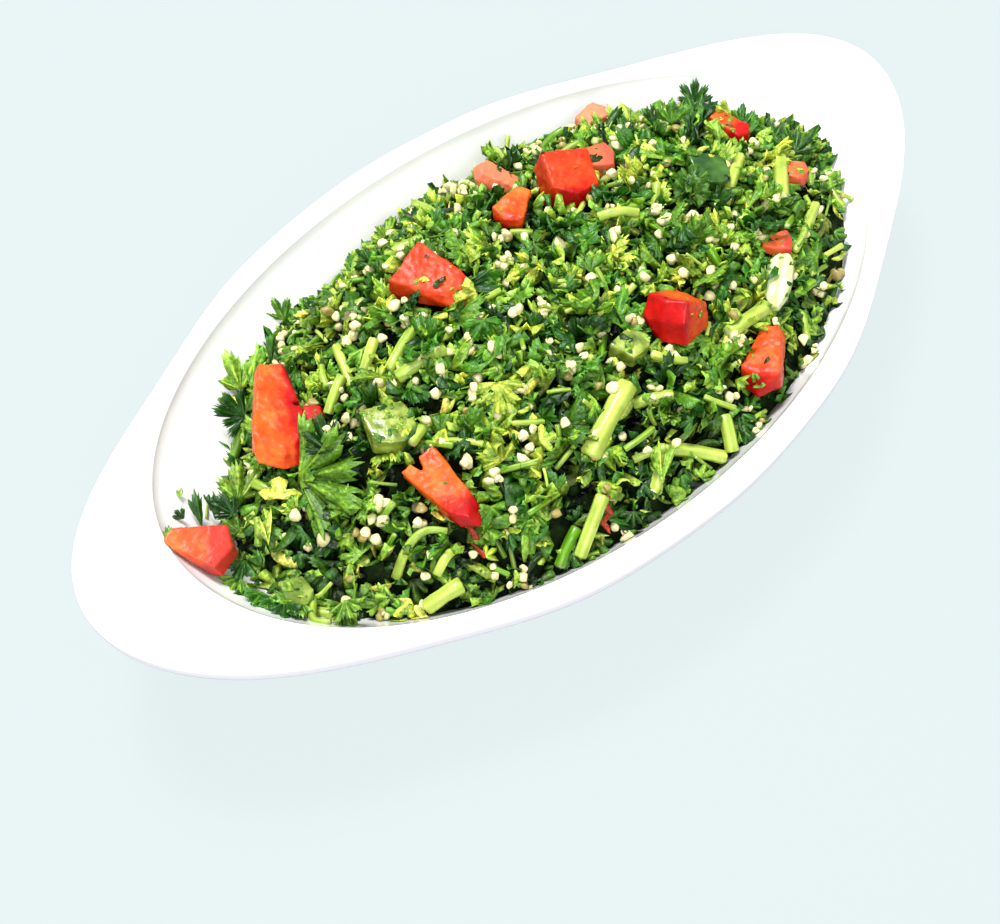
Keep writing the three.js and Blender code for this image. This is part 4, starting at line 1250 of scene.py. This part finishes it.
# Stems long enough to be picked out: both ends on the plan, radius, how high they lie, and the tone,
# from 0 green to 1 pale.
LONG_STEMS = [
    ((-4.0, -34.0), (-22.5, -39.0), 2.6, 2.4, 0.8),
    ((-42.8, 23.0), (-48.8, 10.6), 1.3, 3.6, 0.9),
    ((-37.8, 16.2), (-48.4, 10.2), 1.4, 3.8, 0.85),
    ((-28.8, 11.0), (-42.0, 6.0), 1.5, 2.0, 0.45),
    ((-42.0, 2.6), (-30.4, 0.2), 1.7, 2.2, 0.5),
    ((-15.3, 37.0), (-6.3, 33.0), 1.4, 2.0, 0.55),
    ((82.5, -9.5), (68.7, -20.5), 2.1, 2.0, 0.7),
    ((56.0, -12.0), (71.0, -4.5), 1.6, 2.0, 0.8),
    ((39.4, -14.4), (36.4, -30.6), 1.5, 2.0, 0.55),
    ((-3.5, -47.6), (6.5, -57.0), 1.7, 2.0, 0.65),
    ((-4.6, -36.4), (3.0, -42.0), 1.6, 2.2, 0.55),
    ((-5.2, -47.5), (-13.5, -52.0), 1.7, 2.0, 0.7),
    ((12.4, -50.7), (8.8, -57.5), 1.7, 2.0, 0.6),
    ((-51.5, -10.8), (-43.6, -8.8), 1.4, 2.2, 0.55),
    ((-44.3, -15.6), (-39.5, -22.4), 0.8, 2.4, 0.6),
    ((26.2, -39.4), (39.8, -39.0), 2.0, 2.0, 0.6),
    ((68.4, -29.8), (78.0, -26.0), 1.5, 1.6, 0.7),
    ((-25.0, -46.5), (-37.0, -51.0), 1.7, 1.8, 0.6),
    ((-62.0, -38.5), (-70.5, -36.0), 2.0, 1.8, 0.75),
    ((-84.0, -27.5), (-90.0, -18.5), 1.4, 1.4, 0.5),
]


# How far the middle of a picked stem is bowed upwards, in mm.
STEM_BOW = 0.6


def on_heap(x, y, height):
    """The point this far above the heap's clumped surface, at a place of the plan."""
    turn, share = heap_place(np.array([x]), np.array([y]))
    point = clumped_point(turn, np.minimum(share, 1.03))
    point = (point + heap_normal(turn, np.minimum(share, 1.0)) * height)[0]
    point[2] = max(point[2], height_on(GROUND, point[None])[0] + 0.6)
    return point


def cut_stem(start, end, radius, random):
    shares = np.array([0, 0.03, 0.25, 0.5, 0.75, 0.97, 1.0])
    line = start + (end - start) * shares[:, None]
    line[:, 2] += STEM_BOW * (1 - (2 * shares - 1) ** 2)
    radii = radius * np.array([0.86, 1, 0.97, 0.94, 0.95, 0.98, 0.84]) * random.uniform(0.94, 1.06, 7)
    return tube(line, radii, 12, 0.055)


def make_stems(material):
    own = np.random.default_rng(111)
    parts, tones = [], []
    for first, last, radius, height, tone in LONG_STEMS:
        ends = [on_heap(*p, height * s) for p, s in zip((first, last), own.uniform(0.7, 1.3, 2))]
        parts.append(cut_stem(*ends, radius, own))
        tones.append(tone)
    for row, first, last, tone in BENT_STEMS:
        line = smooth_line([on_heap(*point) for point in row])
        parts.append(tube(line, np.linspace(first, last, len(line)), 8, 0.04))
        tones.append(tone)
    points, faces, _, _ = joined(parts)
    colours = np.concatenate([stem_colours(part[3], part[2], tone) for part, tone in zip(parts, tones)])
    finish_piece(build_mesh("long_stems", points, faces, colours), material)

    shapes = []
    for _ in range(18):
        bow = own.uniform(-0.08, 0.12)
        line = [(0, y, bow * (1 - 4 * y * y)) for y in (-0.5, -0.48, -0.2, 0.15, 0.48, 0.5)]
        radii = own.uniform(0.07, 0.14) * np.array([0.86, 1, 0.95, 0.93, 0.96, 0.84])
        shapes.append(tube(line, radii, 10, 0.05))
    turn, share = spots(240, 0.99, 112)
    tone = own.uniform(-0.25, 0.8, len(turn))
    bounds = (4.0, 10), (0.2, 2.6), (-35, 35), (-20, 20)
    laid = lay_at_random(shapes, own, turn, share, *bounds, 113, clear=0.02)

    def paint(members, shape):
        return stem_colours(shape[3][None] + 0 * members[:, None], shape[2][None], tone[members, None])

    join_laid("cut_stems", laid, paint, material)


# How many places over the heap have grains, and how far the others of a cluster lie from its first.
GRAIN_SPOTS, GRAIN_SPACING = 300, 0.022


def make_grains(material):
    """Cooked grains: half of the places have one and the others three."""
    shapes = several(grain, 20, 25)
    own = np.random.default_rng(121)
    turn, share = spots(GRAIN_SPOTS, 0.985, 122)
    clustered = own.random(GRAIN_SPOTS) < 0.5
    near_turn, near_share = turn[clustered], share[clustered]
    for _ in range(2):
        shift = own.normal(0, 1, (2, len(near_turn))) * GRAIN_SPACING
        turn = np.concatenate([turn, near_turn + shift[0] / np.maximum(near_share, 0.15)])
        share = np.concatenate([share, np.clip(near_share + shift[1], 0.01, 0.98)])
    picked_turn, picked_share = placed_at(PICKED_GRAINS)
    size = np.concatenate([own.uniform(1.0, 1.85, len(turn)), [row[3] for row in PICKED_GRAINS]])
    height = np.concatenate([own.uniform(0.6, 3.3, len(turn)), [row[2] for row in PICKED_GRAINS]])
    turn, share = np.concatenate([turn, picked_turn]), np.concatenate([share, picked_share])
    count = len(turn)
    lift, roll = angles(own, 0, 180, count), angles(own, 0, 180, count)
    laid = lay(shapes, turn, share, size, height, lift, roll, 123, clear=0.05)
    chance = own.random(count)
    chance[-len(PICKED_GRAINS) :] = 1
    cream, olive = srgb(238, 230, 176), srgb(168, 154, 86)
    bright = own.uniform(0.74, 1.0, (count, 1))
    tone = np.where(chance[:, None] < 0.13, olive, cream) * bright

    def paint(members, shape):
        return np.repeat(tone[members][:, None], len(shape[0]), axis=1)

    join_laid("grains", laid, paint, material, 0.3)


# ---------------------------------------------------------------- diced pieces

# Each one's middle, its size, its yaw, pitch and roll, its tint, and from where it has the skin's colour:
# from what share of its size, -0.5 to 0.5, and along which of its axes. The tint is how pale a tomato or
# how green a cucumber is all over, and below 0 how red a tomato is.
DICE = {
    "tomato_1": ((-65.4, 21, 41.5), (25.5, 14, 8), (-122, 6, -14), 0.0, 0.12, 1),
    "tomato_2": ((-63.5, 13, 40.8), (7.5, 7.5, 5.5), (-50, 10, 0), 0.0, -0.1, 0),
    "tomato_3": ((-102, 6, 39.2), (14, 10.5, 8), (-46, 26, 6), 0.12, 0.2, 0),
    "tomato_4": ((-17.8, 19, 50), (17.5, 13, 8.5), (-74, 4, 6), -0.75, 0.6, 0),
    "tomato_5": ((-53, -22.5, 42.5), (17.5, 9.5, 7.5), (-91, 12, 14), 0.0, 0.36, 0),
    "tomato_6": ((30, 19, 52), (12.5, 13, 10.5), (-120, 22, -6), -0.8, 0.42, 0),
    "tomato_7": ((14.3, 21.5, 51.5), (11, 8, 6), (-158, 15, 0), 0.0, 0.6, 0),
    "tomato_8": ((20.5, 33.5, 46.5), (11, 8, 5.5), (120, -12, 15), 0.7, 0.5, 0),
    "tomato_9": ((40.5, 20, 49), (9, 8.5, 7), (-30, 12, 0), 0.35, 0.3, 0),
    "tomato_10": ((18, -30.5, 49.5), (11, 11, 10), (180, -22, 22), -0.3, 0.36, 0),
    "tomato_11": ((32, -48.5, 38.5), (15.5, 10, 9), (-150, 14, 14), -0.4, 0.5, 0),
    "tomato_12": ((56.5, -29, 44), (7.5, 6.5, 5), (-45, 8, 0), 0.2, 0.3, 0),
    "tomato_13": ((80.5, 7.5, 44.5), (11, 6.5, 5.5), (-85, 10, 0), 0.0, 0.2, 0),
    "tomato_14": ((79.5, -14.5, 43), (9, 7, 5.5), (-60, 10, 0), 0.3, 0.5, 0),
    "tomato_15": ((57, 36, 42.5), (8.5, 6.5, 5), (-10, 0, 0), 0.8, 0.5, 0),
    "cucumber_1": ((-52.5, -4.5, 46), (14, 13, 6), (-70, 8, 0), 0.0, 0.36, 0),
    "cucumber_2": ((59, -3, 49), (13, 11, 6), (-80, 14, 0), 1.0, 0.36, 0),
    "cucumber_3": ((2.5, -28.5, 48.5), (10, 8, 5), (-30, 0, 10), 0.0, 0.44, 0),
    "cucumber_4": ((-91.5, -15, 30), (9, 8, 5), (-60, 20, 0), 0.3, 0.36, 0),
    "onion": ((49, -37, 43.5), (17, 7, 4), (-148, 8, 20), 0.0, 0.36, 0),
}


# The size of the small faces that a diced piece is made of, in mm.
PIECE_DETAIL = 0.42


def refined_copy(node):
    """The node's mesh with even small faces and rounded edges."""
    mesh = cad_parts[node].data.copy()
    made = add_object("piece_" + node, mesh)
    remesh = made.modifiers.new("even", "REMESH")
    remesh.mode = "VOXEL"
    remesh.voxel_size = PIECE_DETAIL * MM
    smooth = made.modifiers.new("soft", "SMOOTH")
    smooth.iterations = 1
    smooth.factor = 0.5
    evaluated = made.evaluated_get(bpy.context.evaluated_depsgraph_get())
    fine = bpy.data.meshes.new_from_object(evaluated)
    made.modifiers.clear()
    made.data = fine
    bpy.data.meshes.remove(mesh)
    return made


# How many bits of herb stick to each of the diced pieces.
STUCK_BITS = {
    "tomato_1": 1, "tomato_2": 2, "tomato_3": 0, "tomato_4": 9, "tomato_5": 1, "tomato_6": 2,
    "tomato_9": 7, "tomato_10": 4, "tomato_11": 5, "tomato_12": 5, "tomato_13": 6, "tomato_14": 6,
    "tomato_7": 2, "tomato_8": 3, "cucumber_1": 20, "cucumber_2": 10, "cucumber_3": 7,
    "cucumber_4": 10, "onion": 4
}


def make_stuck_bits(material):
    """Small bits of leaf on the upper sides of the diced pieces."""
    source = np.random.default_rng(131)
    shapes = [scrap(source) for _ in range(12)]
    tones, laid = [], []
    for node, count in STUCK_BITS.items():
        mesh = bpy.data.objects["piece_" + node].data
        upper = [v for v in mesh.vertices if v.normal.z > 0.35]
        for pick in source.choice(len(upper), count, replace=False):
            shape = shapes[int(source.integers(0, len(shapes)))]
            up = np.array(upper[pick].normal)
            across = unit(np.cross(up, source.normal(size=3)))
            turning = np.array([across, np.cross(up, across), up])
            size = 0.9 + 2.6 * source.random() ** 2
            points = shape[0] * (size, size, size * 0.5) @ turning + np.array(upper[pick].co) / MM + up * 0.15
            laid.append((shape, np.array([len(tones)]), points[None]))
            tones.append(source.uniform(0.0, 0.8))
    join_laid("stuck_bits", laid, leaf_paint(np.array(tones), 132, 0.3), material, 0.9)


def hash_of(name):
    """A steady number for a name."""
    return sum((k + 1) * ord(c) for k, c in enumerate(name)) % 97


def lumps(point, seed):
    """The wet, uneven surface of cut flesh, from about -0.8 to 0.8."""
    broad = noise.noise(point * 0.22 + seed)
    fine = noise.noise(point * 0.75 + seed * 2)
    return 0.5 * broad + 0.3 * fine


# How far the flesh's lumps stand out, in mm, and how many radians of waves run across the onion.
LUMP_HEIGHT = {"tomato": 0.65, "cucumber": 0.4, "onion": 0.4}
ONION_WAVES = 16


def point_vectors(mesh, key):
    values = np.empty(len(mesh.vertices) * 3, np.float32)
    mesh.vertices.foreach_get(key, values)
    return values.reshape(-1, 3)


def make_diced(materials):
    for node, (middle, size, turn, tint, skin_from, axis) in DICE.items():
        kind = node.split("_")[0]
        made = refined_copy(node)
        mesh = made.data
        points, normals = point_vectors(mesh, "co") / MM, point_vectors(mesh, "normal")
        yaw, pitch, roll = (math.radians(v) for v in turn)
        axes = np.array(Euler((roll, pitch, yaw), "XYZ").to_matrix())
        local = (points - np.array(middle)) @ axes
        across = local[:, axis] / size[axis]
        seed = Vector((hash_of(node), 3.1, 7.7))
        bumps = np.array([lumps(Vector(p), seed) for p in points])
        if kind == "tomato":
            skin = smoothstep(skin_from, skin_from + 0.09, across + 0.14 * bumps)
        elif kind == "cucumber":
            skin = np.maximum(smoothstep(skin_from, skin_from + 0.08, across), tint)
        else:
            skin = 0.7 * smoothstep(0.1, 0.9, np.cos(local[:, 1] / size[1] * ONION_WAVES) * 0.5 + 0.5)
        outward = bumps * (0.25 + 0.75 * (1 - skin))
        points += normals * outward[:, None] * LUMP_HEIGHT[kind]
        mesh.vertices.foreach_set("co", (points * MM).astype(np.float32).ravel())
        blush = np.maximum(smoothstep(skin_from - 0.5, skin_from + 0.15, across + 0.4 * bumps), -tint)
        pale = np.full(len(points), max(tint, 0.0) if kind == "tomato" else 0.0)
        for key, value in (("skin", skin), ("blush", blush), ("pale", pale)):
            layer = mesh.attributes.new(key, "FLOAT", "POINT")
            layer.data.foreach_set("value", value.astype(np.float32))
        mesh.polygons.foreach_set("use_smooth", np.ones(len(mesh.polygons), bool))
        mesh.update()
        finish_piece(made, materials[kind], node)


# ---------------------------------------------------------------- stage, lights and camera

FLOOR_HALF_SIZE = 3000.0
FLOOR_LIGHT = (0.747, 0.83, 0.838)
# The light that comes from below, from the side and from above.
BELOW, SIDE, ABOVE = (0.2, 0.19, 0.3), (0.4, 0.41, 0.43), (0.68, 0.69, 0.71)
# Area lights, in metres and watts: where each is, its size and its power. They shine on the heap.
LIGHTS = {"key": ((0.0, 0.34, 1.0), 0.3, 16.2), "fill": ((-0.5, -0.6, 0.75), 0.5, 8.6)}
LIT_PLACE = Vector((0, 0, 0.03))
# The camera, fitted to the rim's outline in the photo: degrees, metres and millimetres.
AZIMUTH, ELEVATION, DISTANCE = -44.15, 56.61, 0.3081
AIM = Vector((-0.037, -0.0255, 0.038))
LENS, SENSOR = 47.76, 36.0


def make_floor():
    half = FLOOR_HALF_SIZE
    corners = [(-half, -half, 0), (half, -half, 0), (half, half, 0), (-half, half, 0)]
    floor = build_mesh("floor", corners, [[0, 1, 2, 3]])
    looks = {"Base Color": (0.03, 0.033, 0.034), "Roughness": 1.0, "Specular IOR Level": 0.0}
    looks |= {"Emission Color": FLOOR_LIGHT, "Emission Strength": 1.0}
    floor.data.materials.append(new_material("pale_floor", looks)[0])
    floor.visible_diffuse = False


def make_world():
    world = bpy.data.worlds.new("soft_room")
    bpy.context.scene.world = world
    world.use_nodes = True
    tree = world.node_tree
    place = tree.nodes.new("ShaderNodeTexCoord")
    split = tree.nodes.new("ShaderNodeSeparateXYZ")
    tree.links.new(place.outputs["Generated"], split.inputs["Vector"])
    height = add_range(tree, split.outputs["Z"], -1, 1)
    light = add_ramp(tree, height, (0.46, BELOW), (0.54, SIDE), (0.9, ABOVE))
    tree.links.new(light, tree.nodes["Background"].inputs["Color"])


def make_light(name, place, size, power):
    light = bpy.data.lights.new(name, "AREA")
    light.shape = "SQUARE"
    light.size = size
    light.energy = power
    made = add_object(name, light)
    made.location = place
    made.rotation_euler = (LIT_PLACE - Vector(place)).to_track_quat("-Z", "Y").to_euler()


def make_camera():
    azimuth, elevation = math.radians(AZIMUTH), math.radians(ELEVATION)
    level = math.cos(elevation)
    back = Vector((math.sin(azimuth) * level, -math.cos(azimuth) * level, math.sin(elevation)))
    data = bpy.data.cameras.new("camera")
    data.lens, data.sensor_width, data.sensor_fit = LENS, SENSOR, "HORIZONTAL"
    data.clip_start, data.clip_end = 0.02, 20
    camera = add_object("camera", data)
    camera.location = AIM + back * DISTANCE
    camera.rotation_euler = (-back).to_track_quat("-Z", "Y").to_euler()
    bpy.context.scene.camera = camera


make_camera()
make_floor()
make_world()
for name, settings in LIGHTS.items():
    make_light(name, *settings)
make_dish()
make_core()
leaf_material = make_leaf_material()
for make in (make_leaves, make_sprigs, make_scraps, make_shreds, make_flecks, make_slope_leaves):
    make(leaf_material)
make_picked_leaves(leaf_material)
make_skin_shreds(leaf_material)
make_stems(make_stem_material())
make_grains(make_grain_material())
make_diced(
    {
        "tomato": make_tomato_material(),
        "cucumber": make_cucumber_material(),
        "onion": make_onion_material(),
    }
)
make_stuck_bits(leaf_material)

bpy.context.scene.view_settings.view_transform = "Standard"
